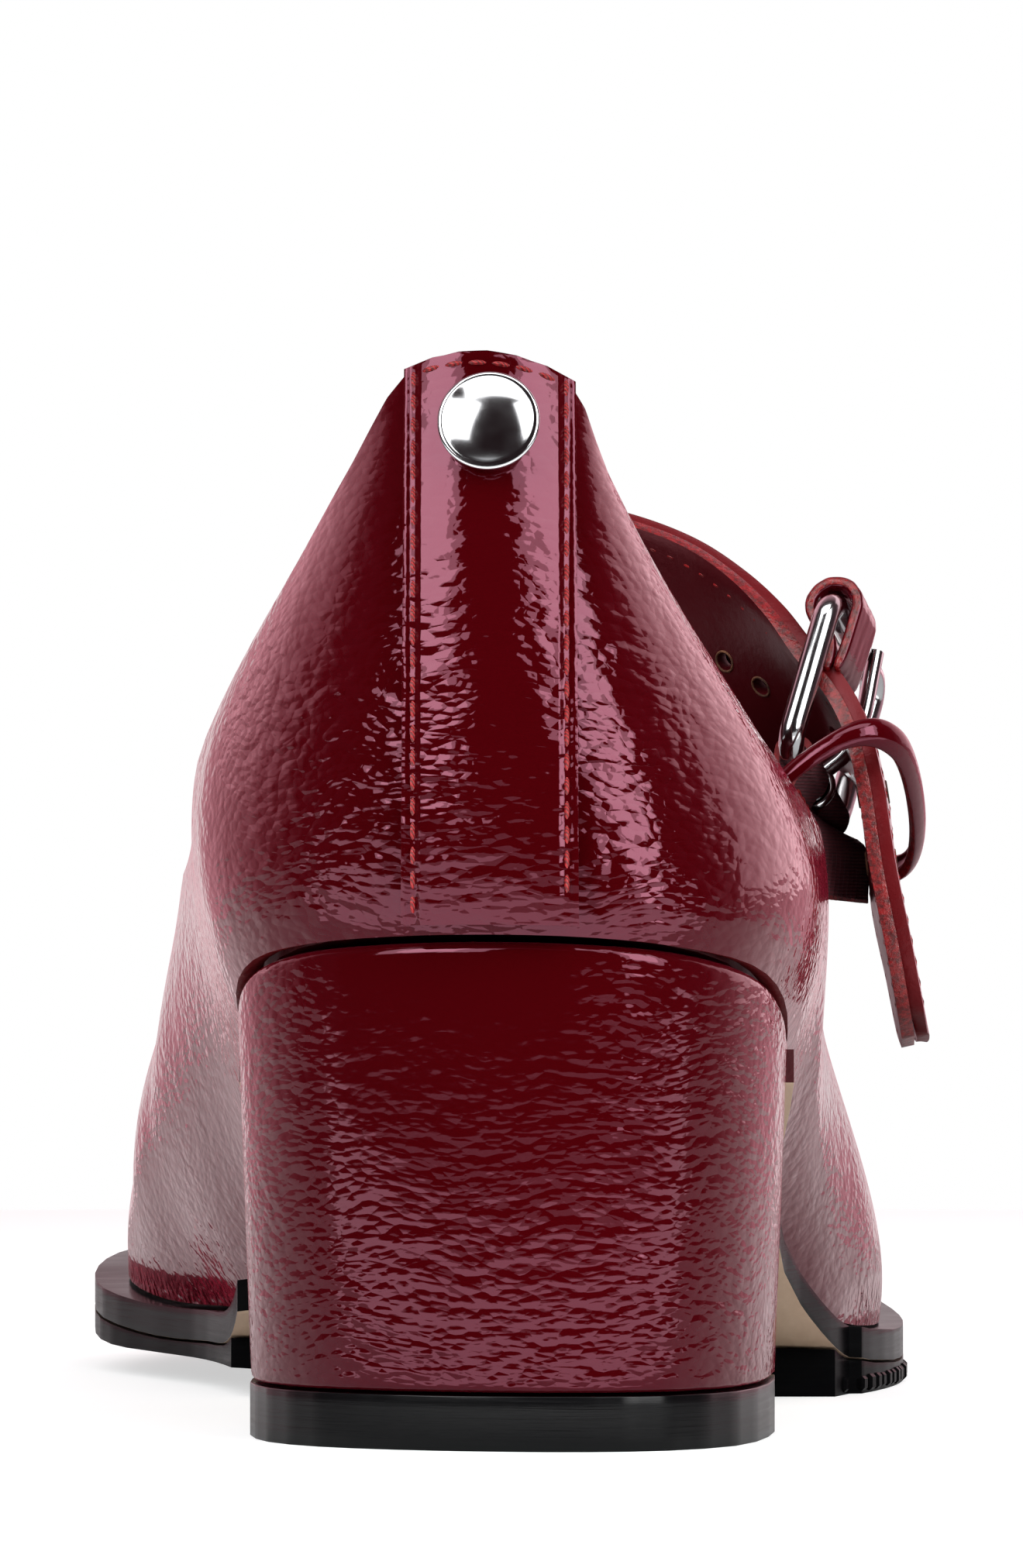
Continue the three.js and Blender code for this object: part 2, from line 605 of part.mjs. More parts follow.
// The prong swings on the lower bar, passes out through the strap and lies over the upper bar.
function prongPath() {
  const bar = frameHeight / 2;
  return [
    inFrame(0, bar - WIRE_RADIUS - GAP - 0.6, 1.0),
    inFrame(0, bar - 4.5, 2.6),
    inFrame(0, 0, 3.3),
    inFrame(0, 3.0 - bar, 2.9),
    inFrame(0, 0.8 - bar, 2.7),
  ];
}

function prongShank(radius) {
  return solidOf(roundWire(curveThrough(prongPath()).getPoints(PRONG_STEPS), radius, PRONG_SIDES, false));
}

function prongGeometry() {
  const inner = WIRE_RADIUS + GAP;
  const eye = solidOf(sleeveGeometry(0, frameHeight / 2, 2 * PRONG_RADIUS + 0.4, inner, inner + EYE_WALL));
  return geometryOf(eye.add(prongShank(PRONG_RADIUS)));
}

function strapGeometry() {
  const back = curveThrough(STRAP_ROWS.map((row) => vector(row.back)));
  const front = curveThrough(STRAP_ROWS.map((row) => vector(row.front)));
  const strap = solidOf(bandGeometry(back, front, STRAP_STEPS, STRAP_THICKNESS, false));
  return geometryOf(strap.subtract(prongShank(PRONG_RADIUS + PRONG_HOLE_GAP)));
}

function keeperGeometry() {
  const middle = KEEPER_LOOP.map(vector);
  const half = KEEPER_WIDTH / 2;
  const upward = middle.map((point) => point.clone().addScaledVector(downUnit, -half));
  const downward = middle.map((point) => point.clone().addScaledVector(downUnit, half));
  return bandGeometry(curveThrough(upward, true), curveThrough(downward, true), KEEPER_STEPS,
    KEEPER_THICKNESS, true);
}

// ---- materials and assembly ---------------------------------------------------------------

function finish(color, roughness, metalness = 0) {
  return new THREE.MeshStandardMaterial({ color, roughness, metalness });
}

const patent = finish(0x6e0f1e, 0.15);
const lining = finish(0x7a1a26, 0.6);
const elastic = finish(0x2c0a10, 0.85);
const rubber = finish(0x161616, 0.45);
const board = finish(0xd7b9a0, 0.7);
const silver = finish(0xc9cacc, 0.12, 1);

const shoe = new THREE.Group();
shoe.position.set(0, -HEEL_REST_Y, 0);

function piece(name, geometry, material) {
  const mesh = new THREE.Mesh(geometry, material);
  mesh.name = name;
  shoe.add(mesh);
}

piece("upper", upperGeometry(), patent);
piece("back_strip", backStripGeometry(), patent);
piece("back_stud", studGeometry(), silver);
piece("insole", insoleGeometry(), lining);
piece("midsole", midsoleGeometry(), board);
piece("outsole", outsoleGeometry(), rubber);
piece("heel_block", heelBlockGeometry(), patent);
piece("top_lift", topLiftGeometry(), rubber);
piece("strap", strapGeometry(), patent);
piece("elastic_tab", elasticTabGeometry(), elastic);
piece("keeper", keeperGeometry(), patent);
piece("buckle_frame", buckleFrameGeometry(), silver);
piece("buckle_roller", rollerGeometry(), patent);
piece("buckle_prong", prongGeometry(), silver);

export default shoe;
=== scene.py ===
# Looks of the right mary jane shoe: patent leather, lining, sole, strap, buckle, light and camera.
# Metres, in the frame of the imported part: X to the outer side of the foot, Y to the toe, Z up.

import math
import random

import bmesh
import bpy
from mathutils import Matrix, Vector, noise
from mathutils.bvhtree import BVHTree


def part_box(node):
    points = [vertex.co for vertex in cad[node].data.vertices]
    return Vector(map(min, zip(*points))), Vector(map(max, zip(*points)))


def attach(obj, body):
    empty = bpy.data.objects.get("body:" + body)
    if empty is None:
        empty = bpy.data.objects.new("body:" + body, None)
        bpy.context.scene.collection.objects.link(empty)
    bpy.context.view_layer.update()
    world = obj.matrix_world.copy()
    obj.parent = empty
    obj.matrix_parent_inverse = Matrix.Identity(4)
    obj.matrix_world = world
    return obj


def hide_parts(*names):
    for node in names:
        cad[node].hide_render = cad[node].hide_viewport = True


MM = 0.001
HEEL_BACK = -25 * MM          # back of the heel, along Y, in the part's frame

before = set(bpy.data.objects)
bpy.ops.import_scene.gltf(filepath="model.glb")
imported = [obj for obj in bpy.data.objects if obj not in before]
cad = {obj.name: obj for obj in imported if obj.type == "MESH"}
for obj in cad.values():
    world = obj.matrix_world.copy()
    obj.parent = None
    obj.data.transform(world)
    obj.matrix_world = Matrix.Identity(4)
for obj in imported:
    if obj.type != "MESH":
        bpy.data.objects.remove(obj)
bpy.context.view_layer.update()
random.seed(7)


# ---- hand tools ---------------------------------------------------------------------------

def pick(*objects):
    """Only these objects are selected, the last one active."""
    bpy.ops.object.select_all(action="DESELECT")
    for piece in objects:
        piece.select_set(True)
    bpy.context.view_layer.objects.active = objects[-1]


def edit(piece, select="SELECT"):
    """Edit mode with all of the piece selected, or with none of it."""
    pick(piece)
    bpy.ops.object.mode_set(mode="EDIT")
    bpy.ops.mesh.select_all(action=select)


def leave():
    bpy.ops.object.mode_set(mode="OBJECT")


def add(name, data):
    """A new object in the scene."""
    made = bpy.data.objects.new(name, data)
    bpy.context.scene.collection.objects.link(made)
    return made


def join(name, pieces):
    """Makes one piece of several."""
    pick(*pieces)
    bpy.ops.object.join()
    joined = bpy.context.object
    joined.name = name
    return joined


def turn_inside_out(piece):
    edit(piece)
    bpy.ops.mesh.flip_normals()
    leave()


def point_faces_out(piece):
    edit(piece)
    bpy.ops.mesh.normals_make_consistent(inside=False)
    leave()


def upright_on(direction):
    """The turn that stands a piece's Z along a direction."""
    return direction.to_track_quat("Z", "Y").to_euler()


def modify(piece, kind, **settings):
    """Adds a modifier with these settings and applies it."""
    pick(piece)
    modifier = piece.modifiers.new(kind.lower(), kind)
    for key, value in settings.items():
        setattr(modifier, key, value)
    bpy.ops.object.modifier_apply(modifier=modifier.name)


def subdivide(piece, levels):
    modify(piece, "SUBSURF", levels=levels, render_levels=levels)


def settle(piece):
    """Puts the piece's place into its mesh."""
    pick(piece)
    bpy.ops.object.transform_apply(location=True, rotation=True, scale=True)


def welded_copy(node, name):
    """A copy of a CAD piece, its triangles joined up and paired into quads."""
    piece = add(name, cad[node].data.copy())
    piece.data.materials.clear()
    pick(piece)
    bpy.ops.mesh.customdata_custom_splitnormals_clear()
    edit(piece)
    bpy.ops.mesh.remove_doubles(threshold=0.01 * MM)
    bpy.ops.mesh.tris_convert_to_quads(face_threshold=math.radians(50),
                                       shape_threshold=math.radians(60))
    leave()
    return piece


def crease_sharp(piece, angle, amount):
    """Edges that turn by more than the angle keep their corner under subdivision."""
    edit(piece, "DESELECT")
    bpy.ops.mesh.edges_select_sharp(sharpness=math.radians(angle))
    bpy.ops.transform.edge_crease(value=amount)
    leave()


def clear_creases(piece):
    edit(piece)
    bpy.ops.transform.edge_crease(value=-1)
    leave()


def round_edges(piece, width, segments, angle=40):
    modify(piece, "BEVEL", width=width, segments=segments, limit_method="ANGLE",
           angle_limit=math.radians(angle), harden_normals=False)


def face_groups(piece, angle):
    """The numbers of the faces, group by group, the largest group first: an edge sharper than the
    angle parts two groups."""
    mesh = bmesh.new()
    mesh.from_mesh(piece.data)
    seen = set()
    groups = []
    for start in mesh.faces:
        if start.index in seen:
            continue
        seen.add(start.index)
        members = [start]
        for face in members:
            for edge in face.edges:
                if len(edge.link_faces) == 2 and edge.calc_face_angle() < math.radians(angle):
                    for other in edge.link_faces:
                        if other.index not in seen:
                            seen.add(other.index)
                            members.append(other)
        groups.append((sum(face.calc_area() for face in members), [face.index for face in members]))
    mesh.free()
    return [faces for _, faces in sorted(groups, key=lambda group: -group[0])]


def paint_faces(piece, *materials):
    for material in materials:
        piece.data.materials.append(material.material)


def hand_in(piece, slot, *replaced, angle=35):
    """Smooth shading, body, and the CAD pieces that this one stands for; the finish slot is not used."""
    pick(piece)
    bpy.ops.object.shade_smooth_by_angle(angle=math.radians(angle))
    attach(piece, "root")
    if replaced:
        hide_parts(*replaced)
    return piece


def smooth_path(points, share, looped=False):
    """A point on the smooth curve through the points, at a share (0 to 1) of the way along."""
    count = len(points)
    place = share * (count if looped else count - 1)
    start = min(int(place), count - (1 if looped else 2))
    t = place - start

    def at(index):
        if looped:
            return points[index % count]
        if index < 0:
            return 2 * points[0] - points[1]
        if index >= count:
            return 2 * points[-1] - points[-2]
        return points[index]

    a, b, c, d = (at(start + step) for step in (-1, 0, 1, 2))
    slope_b, slope_c = (c - a) / 2, (d - b) / 2
    return (b * (2 * t ** 3 - 3 * t ** 2 + 1) + slope_b * (t ** 3 - 2 * t ** 2 + t)
            + c * (3 * t ** 2 - 2 * t ** 3) + slope_c * (t ** 3 - t ** 2))


def surface_of(node):
    """A CAD piece's surface, for finding points on it."""
    mesh = cad[node].data
    return BVHTree.FromPolygons([vertex.co.copy() for vertex in mesh.vertices],
                                [face.vertices[:] for face in mesh.polygons])


def touch(surface, start, direction):
    """Where a straight line first meets a surface, and the way the surface faces there."""
    point, facing, _, _ = surface.ray_cast(Vector(start), Vector(direction).normalized())
    return point, facing


# ---- shader sockets that take part in arithmetic --------------------------------------------

class Wire:
    """An output socket; arithmetic on it adds Math nodes."""

    def __init__(self, paint, socket):
        self.paint = paint
        self.socket = socket

    def math(self, operation, first, second=None):
        values = {0: first} if second is None else {0: first, 1: second}
        return self.paint.node("ShaderNodeMath", {"operation": operation}, values)

    def __add__(self, other):
        return self.math("ADD", self, other)

    __radd__ = __add__

    def __sub__(self, other):
        return self.math("SUBTRACT", self, other)

    def __rsub__(self, other):
        return self.math("SUBTRACT", other, self)

    def __mul__(self, other):
        return self.math("MULTIPLY", self, other)

    __rmul__ = __mul__

    def __abs__(self):
        return self.math("ABSOLUTE", self)

    def __neg__(self):
        return self.math("MULTIPLY", self, -1)

    def clipped(self, low, high):
        """0 below low, 1 above high, smooth between them."""
        return self.paint.node("ShaderNodeMapRange", {"interpolation_type": "SMOOTHSTEP"},
                               {"Value": self, "From Min": low, "From Max": high})


class Paint:
    """A procedural material that is built node by node."""

    def __init__(self, name, **fixed):
        self.material = bpy.data.materials.new(name)
        self.material.use_nodes = True
        self.tree = self.material.node_tree
        self.shader = next(n for n in self.tree.nodes if n.type == "BSDF_PRINCIPLED")
        for socket, value in fixed.items():
            self.set(socket.replace("_", " "), value)

    def set(self, socket, value):
        target = self.shader.inputs[socket]
        if isinstance(value, Wire):
            self.tree.links.new(value.socket, target)
        else:
            target.default_value = value

    def node(self, kind, settings=None, values=None, out=0):
        made = self.tree.nodes.new(kind)
        for key, value in (settings or {}).items():
            setattr(made, key, value)
        for key, value in (values or {}).items():
            if isinstance(value, Wire):
                self.tree.links.new(value.socket, made.inputs[key])
            else:
                made.inputs[key].default_value = value
        return Wire(self, made.outputs[out])

    def place(self):
        return self.node("ShaderNodeTexCoord", out="Object")

    def axes(self, vector):
        parts = self.node("ShaderNodeSeparateXYZ", values={0: vector})
        return [Wire(self, parts.socket.node.outputs[i]) for i in range(3)]

    def vector(self, operation, first, second):
        return self.node("ShaderNodeVectorMath", {"operation": operation}, {0: first, 1: second})

    def speckle(self, place, scale, detail=2.0, roughness=0.5, out="Fac"):
        """Noise of so many grains a metre."""
        return self.node("ShaderNodeTexNoise", {}, {"Vector": place, "Scale": scale, "Detail": detail,
                                                    "Roughness": roughness}, out=out)

    def mix(self, share, first, second):
        return self.node("ShaderNodeMix", {"data_type": "RGBA"},
                         {"Factor": share, 6: first, 7: second}, out=2)

    def bump(self, height, distance):
        """A height of 1 stands out by the distance, in metres."""
        self.set("Normal", self.node("ShaderNodeBump", {}, {"Height": height, "Distance": distance}))


def rgb(*screen):
    """A colour given as it looks on a screen, 0 to 255, in the renderer's own linear values."""
    linear = [value / 255 / 12.92 if value <= 10 else ((value / 255 + 0.055) / 1.055) ** 2.4
              for value in screen]
    return (*linear, 1)


# ---- finishes -----------------------------------------------------------------------------

OXBLOOD = (0.027, 0.0001, 0.0005, 1)
CHERRY = (0.046, 0.0004, 0.0016, 1)
FOLDS, CELLS, PORES = 290, 560, 1050      # relief in three sizes, each so many a metre
FOLD_SHARE, CELL_SHARE, PORE_SHARE = 0.6, 0.8, 0.26
CELL_STRETCH = 2.1                        # a cell is so many times wider than high
CELL_DRIFT = 3 * MM                       # rows of cells wander by up to half of this
SHADES, PATCHES, DRIFTS = 24, 60, 85      # slow changes of colour, relief and rows, so many a metre
MIDDLE_GREY = (0.5, 0.5, 0.5)


def patent(name, depth, fade=None, extra=None, cell=1.0):
    """Crinkled patent leather: long low cells with sharp valleys between them, under one hard gloss.
    fade gives the share of the relief at a place, and extra adds a relief of its own."""
    p = Paint(name, Roughness=0.055, IOR=1.53, Specular_Tint=(1.0, 0.4, 0.56, 1), Sheen_Weight=0.17,
              Sheen_Roughness=0.45, Sheen_Tint=(0.9, 0.05, 0.12, 1))
    where = p.place()
    drift = p.vector("SUBTRACT", p.speckle(where, DRIFTS, 1, out="Color"), MIDDLE_GREY)
    bent = p.vector("ADD", where, p.vector("MULTIPLY", drift, (CELL_DRIFT, CELL_DRIFT, CELL_DRIFT)))
    rows = p.vector("MULTIPLY", bent, (1, 1, CELL_STRETCH))
    folds = p.speckle(rows, FOLDS * cell, 0).clipped(0.25, 0.75)
    valleys = p.node("ShaderNodeTexVoronoi", {"feature": "F1"}, {"Vector": rows, "Scale": CELLS * cell})
    pores = p.speckle(rows, PORES * cell, 0)
    height = folds * FOLD_SHARE + (1.0 - valleys) * CELL_SHARE + pores * PORE_SHARE
    strength = 0.65 + 0.35 * p.speckle(where, PATCHES, 1).clipped(0.34, 0.6)
    if fade:
        strength = strength * fade(p, where)
    height = strength * height
    if extra:
        height = height + extra(p, where)
    p.bump(height, depth)
    p.set("Base Color", p.mix(p.speckle(where, SHADES, 2), OXBLOOD, CHERRY))
    return p


def plain_leather(name, deep, light, roughness, depth):
    """Lining or painted edge: fine even grain and a soft gloss."""
    p = Paint(name, IOR=1.45, Specular_Tint=(1.0, 0.45, 0.5, 1))
    where = p.place()
    p.set("Base Color", p.mix(p.speckle(where, 60, 4), deep, light))
    p.set("Roughness", p.speckle(where, 300, 2) * 0.18 + roughness)
    p.bump(p.speckle(where, 900, 3, 0.6), depth)
    return p


def calm_heel(p, where):
    """The heel's covering is stretched smooth under the middle of its upper edge; its sides and its
    foot stay wrinkled."""
    across, _, height = p.axes(where)
    outer = across.clipped(4 * MM, 9 * MM)
    inner = (-across).clipped(15 * MM, 20 * MM)
    flank = abs(across).clipped(17 * MM, 25 * MM)
    calm = 0.8 * height.clipped(18 * MM, 34 * MM) * (1.0 - outer) * (1.0 - inner)
    return (1.0 - calm) * (1.35 + flank)


STRIP_X = -2.05 * MM
STRIP_HALF = 8.4 * MM
STITCH_INSET = 1.15 * MM
STRIP_PITCH = 2.3 * MM


def calm_top(p, where):
    """The wrinkles grow from the topline down to the seat, and most of all beside the back strip."""
    across, _, height = p.axes(where)
    beside = 1.0 - abs(across - STRIP_X).clipped(14 * MM, 27 * MM)
    below = 1.0 - height.clipped(70 * MM, 92 * MM)
    return 1.0 - 0.25 * height.clipped(60 * MM, 95 * MM) + 0.9 * beside * below


def strip_grooves(p, where):
    """Leather pulled down along the two rows of stitches."""
    across = abs(p.axes(where)[0] - STRIP_X) - (STRIP_HALF - STITCH_INSET)
    return abs(across).clipped(0.15 * MM, 0.8 * MM) * 1.6


TOE_SPRING = 5.6 * MM         # the welt rises by this from the ball to the toe
CREASE_HEIGHT = 3.2 * MM
CREASE_DEPTH = 9.0            # times the depth of the crinkle


def welt_crease(p, where):
    """The vamp's last few millimetres turn in towards the sole, a little ruffled."""
    _, along, up = p.axes(where)
    welt = 9 * MM + along.clipped(125 * MM, 215 * MM) * TOE_SPRING
    turned = (up - welt).clipped(0.2 * MM, CREASE_HEIGHT) - 1.0
    ruffle = p.speckle(where, 700, 1) * 0.9 + 0.55
    return turned * ruffle * along.clipped(88 * MM, 100 * MM) * CREASE_DEPTH


def edge_of_sole(name, gloss):
    """Black painted edge with faint polishing lines along it; gloss is its index of refraction."""
    p = Paint(name, IOR=gloss)
    where = p.place()
    streaks = p.speckle(p.vector("MULTIPLY", where, (60, 60, 2600)), 1, 3, 0.6)
    p.set("Base Color", p.mix(streaks, rgb(4, 4, 5), rgb(13, 13, 14)))
    p.set("Roughness", streaks * 0.16 + 0.14)
    p.bump(streaks, 0.02 * MM)
    return p


def waist_leather(name):
    """Natural tan leather with its fibres running along the waist."""
    p = Paint(name, Roughness=0.55)
    where = p.place()
    fibres = p.speckle(p.vector("MULTIPLY", where, (900, 160, 900)), 1, 4, 0.6)
    p.set("Base Color", p.mix(fibres, rgb(204, 172, 144), rgb(226, 198, 172)))
    p.bump(fibres, 0.05 * MM)
    return p


def polished_metal(name):
    """Plated metal, faintly uneven and with fine handling marks."""
    p = Paint(name, Base_Color=rgb(192, 193, 195), Metallic=1.0)
    where = p.place()
    p.set("Roughness", p.speckle(where, 700, 3) * 0.1 + 0.08)
    p.bump(p.speckle(where, 160, 1), 0.02 * MM)
    return p


def twisted_thread(name, deep, light):
    """Sewing thread with its strands lying aslant."""
    p = Paint(name, Roughness=0.5)
    where = p.place()
    strands = p.node("ShaderNodeTexWave", {"wave_type": "BANDS", "bands_direction": "DIAGONAL"},
                     {"Vector": where, "Scale": 1300, "Distortion": 1.0}, out=1)
    p.set("Base Color", p.mix(strands, deep, light))
    p.bump(strands, 0.06 * MM)
    return p


def ribbed_elastic(name):
    """Woven elastic; its ribs are in the mesh and its weave is here."""
    p = Paint(name, Roughness=0.75)
    where = p.place()
    weave = p.node("ShaderNodeTexWave", {"wave_type": "BANDS", "bands_direction": "Z"},
                   {"Vector": where, "Scale": 900, "Distortion": 2.0}, out=1)
    fuzz = p.speckle(where, 500, 2)
    p.set("Base Color", p.mix(weave * 0.5 + fuzz * 0.5, rgb(30, 4, 10), rgb(84, 12, 26)))
    p.bump(weave, 0.08 * MM)
    return p


def raw_leather(name, deep, light, roughness, fibres=420):
    """Cut or rubbed edge with its fibres showing."""
    p = Paint(name, Roughness=roughness)
    where = p.place()
    p.set("Base Color", p.mix(p.speckle(where, fibres, 5, 0.7).clipped(0.35, 0.65), deep, light))
    p.bump(p.speckle(where, 1100, 4, 0.7), 0.18 * MM)
    return p


patent_upper = patent("patent_upper", 0.115 * MM, fade=calm_top, extra=welt_crease)
patent_strip = patent("patent_strip", 0.1 * MM, fade=calm_top, extra=strip_grooves)
patent_heel = patent("patent_heel", 0.05 * MM, fade=calm_heel, cell=1.15)
patent_strap = patent("patent_strap", 0.03 * MM)
lining = plain_leather("lining_leather", rgb(52, 6, 11), rgb(74, 12, 19), 0.24, 0.05 * MM)
edge_paint = raw_leather("red_edge_paint", rgb(66, 1, 3), rgb(126, 4, 8), 0.34, 1500)
edge_dark = plain_leather("dark_edge_paint", rgb(60, 1, 4), rgb(104, 4, 9), 0.35, 0.1 * MM)
seat_edge = plain_leather("seat_edge_paint", rgb(34, 1, 3), rgb(62, 3, 6), 0.35, 0.1 * MM)
suede_edge = raw_leather("raw_red_edge", rgb(60, 4, 9), rgb(124, 16, 22), 0.8)
black_rubber = edge_of_sole("black_rubber", 1.06)
lift_rubber = edge_of_sole("black_lift_rubber", 1.28)
sole_edge = edge_of_sole("black_sole_edge", 1.1)
tan_board = waist_leather("tan_sole_leather")
hole_edge = raw_leather("raw_hole_edge", rgb(60, 30, 18), rgb(112, 70, 44), 0.8)
silver = polished_metal("polished_silver")
thread = twisted_thread("red_thread", rgb(84, 4, 8), rgb(150, 18, 22))
elastic = ribbed_elastic("elastic_tape")


# ---- upper, insole, sole and heel ------------------------------------------------------------

UPPER_CORNER = 55             # degrees; the outside and the lining meet the cut edge at more than this


def make_upper():
    """Patent outside, lining inside and a painted edge round the topline."""
    piece = welded_copy("upper", "upper_shell")
    paint_faces(piece, patent_upper, lining, edge_dark)
    for number, faces in enumerate(face_groups(piece, UPPER_CORNER)):
        for index in faces:
            piece.data.polygons[index].material_index = min(number, 2)
    crease_sharp(piece, UPPER_CORNER, 0.55)
    subdivide(piece, 2)
    clear_creases(piece)
    return hand_in(piece, "patent", "upper")


def make_smooth(node, name, slot, materials, rounding, levels=2):
    """A CAD piece made smooth, with its corners kept and rounded."""
    piece = welded_copy(node, name)
    paint_faces(piece, *materials)
    crease_sharp(piece, 50, 1)
    subdivide(piece, levels)
    clear_creases(piece)
    round_edges(piece, rounding, 3)
    return hand_in(piece, slot, node)


def face_mode(piece, wanted):
    """Edit mode with only the wanted faces selected."""
    edit(piece, "DESELECT")
    leave()
    bpy.context.tool_settings.mesh_select_mode = (False, False, True)
    for face in piece.data.polygons:
        face.select = wanted(face)
    pick(piece)
    bpy.ops.object.mode_set(mode="EDIT")


def leave_faces():
    leave()
    bpy.context.tool_settings.mesh_select_mode = (True, False, False)


def round_rim(piece, rim_face, behind, radius, segments):
    """Rounds the edges of one face, as far forward as a given Y."""
    wanted = {tuple(sorted(key)) for key in rim_face.edge_keys}
    edit(piece, "DESELECT")
    leave()
    bpy.context.tool_settings.mesh_select_mode = (False, True, False)
    for edge in piece.data.edges:
        foremost = max(piece.data.vertices[index].co.y for index in edge.vertices)
        edge.select = tuple(sorted(edge.vertices)) in wanted and foremost < behind
    pick(piece)
    bpy.ops.object.mode_set(mode="EDIT")
    bpy.ops.mesh.bevel(offset=radius, segments=segments, affect="EDGES", clamp_overlap=False)
    leave_faces()


TOP_RIM, FOOT_RIM = 1.45 * MM, 0.6 * MM


def make_heel():
    """The block's upper rim is well rounded, where the leather is turned over it; its foot less so."""
    piece = welded_copy("heel_block", "heel_cover")
    paint_faces(piece, patent_heel)
    edit(piece, "DESELECT")
    bpy.ops.mesh.edges_select_sharp(sharpness=math.radians(40))
    leave()
    rim = {index for edge in piece.data.edges if edge.select for index in edge.vertices
           if piece.data.vertices[index].co.z > 35 * MM}
    face_mode(piece, lambda face: set(face.vertices) <= rim)
    bpy.ops.mesh.delete(type="FACE")
    bpy.ops.mesh.select_mode(type="EDGE")
    bpy.ops.mesh.select_non_manifold()
    bpy.ops.mesh.edge_face_add()
    leave_faces()
    face_mode(piece, lambda face: face.normal.z < -0.95)
    bpy.ops.mesh.dissolve_faces()
    leave_faces()
    point_faces_out(piece)
    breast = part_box("heel_block")[1].y - 3 * MM
    top = max(piece.data.polygons, key=lambda face: face.normal.z * face.area)
    round_rim(piece, top, breast, TOP_RIM, 4)
    foot = min(piece.data.polygons, key=lambda face: face.normal.z * face.area)
    round_rim(piece, foot, breast, FOOT_RIM, 3)
    crease_sharp(piece, 60, 1)
    subdivide(piece, 2)
    clear_creases(piece)
    return hand_in(piece, "patent", "heel_block")


def make_strip():
    """The strip over the back seam, its two cut sides painted."""
    piece = make_smooth("back_strip", "back_strip_cover", "patent", [patent_strip, edge_paint],
                        0.3 * MM, levels=3)
    for face in piece.data.polygons:
        at_side = abs(face.center.x - STRIP_X) > STRIP_HALF * 0.955
        face.material_index = 1 if at_side and abs(face.normal.x) > 0.75 else 0


SEAT_FRONT = 24 * MM


def make_midsole():
    """Black edge, tan underside, and a dark red edge over the heel."""
    piece = make_smooth("midsole", "midsole_board", "board", [sole_edge, tan_board, seat_edge], 0.25 * MM)
    for face in piece.data.polygons:
        if face.normal.z < -0.6:
            face.material_index = 1
        else:
            face.material_index = 2 if face.center.y < SEAT_FRONT else 0


LUG_SIZE = (1.5 * MM, 2.0 * MM, 1.6 * MM)
LUG_PITCH = 3.1 * MM
LUG_SUNK = 0.35 * MM


def make_tread():
    """Rubber forepart with a row of small lugs round its lower edge."""
    make_smooth("outsole", "outsole_rubber", "rubber", [black_rubber], 0.2 * MM)
    outline = surface_of("outsole")
    low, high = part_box("outsole")
    bpy.ops.mesh.primitive_cube_add(size=1)
    pattern = bpy.context.object
    pattern.scale = LUG_SIZE
    settle(pattern)
    edit(pattern)
    bpy.ops.mesh.bevel(offset=0.3 * MM, segments=1)
    leave()
    lugs = []
    for side in (-1, 1):
        y = low.y + 1.5 * MM
        while y < high.y - 4 * MM:
            y += LUG_PITCH
            for height in (1.1, 2.2, 3.3, 4.4, 5.5, 6.6, 7.7, 8.8, 9.9):
                spot, facing = touch(outline, (side * 0.1, y, height * MM), (-side, 0, 0))
                if spot is not None:
                    break
            if spot is None:
                continue
            flat = Vector((facing.x, facing.y, 0)).normalized()
            lug = add("lug", pattern.data.copy())
            turn = math.atan2(flat.y, flat.x)
            size = 0.85 + 0.3 * random.random()
            lug.data.transform(Matrix.Translation(spot - flat * LUG_SUNK) @ Matrix.Rotation(turn, 4, "Z")
                               @ Matrix.Scale(size, 4))
            lugs.append(lug)
    bpy.data.objects.remove(pattern)
    row = join("tread_lugs", lugs)
    for vertex in row.data.vertices:
        vertex.co.z = max(vertex.co.z, 0.05 * MM)
    paint_faces(row, black_rubber)
    return hand_in(row, "rubber")


def make_stud():
    """Turned dome with a slim rim, on a short neck."""
    low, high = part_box("back_stud")
    strip = surface_of("back_strip")
    middle = (low + high) / 2
    seat, facing = touch(strip, (middle.x, -0.1, middle.z - 0.2 * MM), (0, 1, 0))
    profile = [(0, 0.2), (3.7, 0.2), (3.9, 0.9), (4.75, 1.0), (4.92, 1.25), (4.85, 1.55), (4.5, 1.66),
               (4.42, 1.6), (4.1, 1.74), (3.2, 2.1), (2.1, 2.36), (1.0, 2.5), (0, 2.54)]
    mesh = bpy.data.meshes.new("stud_profile")
    mesh.from_pydata([(radius * MM, 0, height * MM) for radius, height in profile],
                     [(i, i + 1) for i in range(len(profile) - 1)], [])
    piece = add("back_stud_dome", mesh)
    edit(piece)
    bpy.ops.mesh.spin(steps=48, angle=math.tau, center=(0, 0, 0), axis=(0, 0, 1))
    bpy.ops.mesh.select_all(action="SELECT")
    bpy.ops.mesh.remove_doubles(threshold=0.01 * MM)
    bpy.ops.mesh.normals_make_consistent(inside=False)
    leave()
    subdivide(piece, 1)
    piece.rotation_euler = facing.to_track_quat("Z", "X").to_euler()
    piece.location = seat
    settle(piece)
    paint_faces(piece, silver)
    return hand_in(piece, "silver", "back_stud", angle=50)


# ---- stitches -----------------------------------------------------------------------------

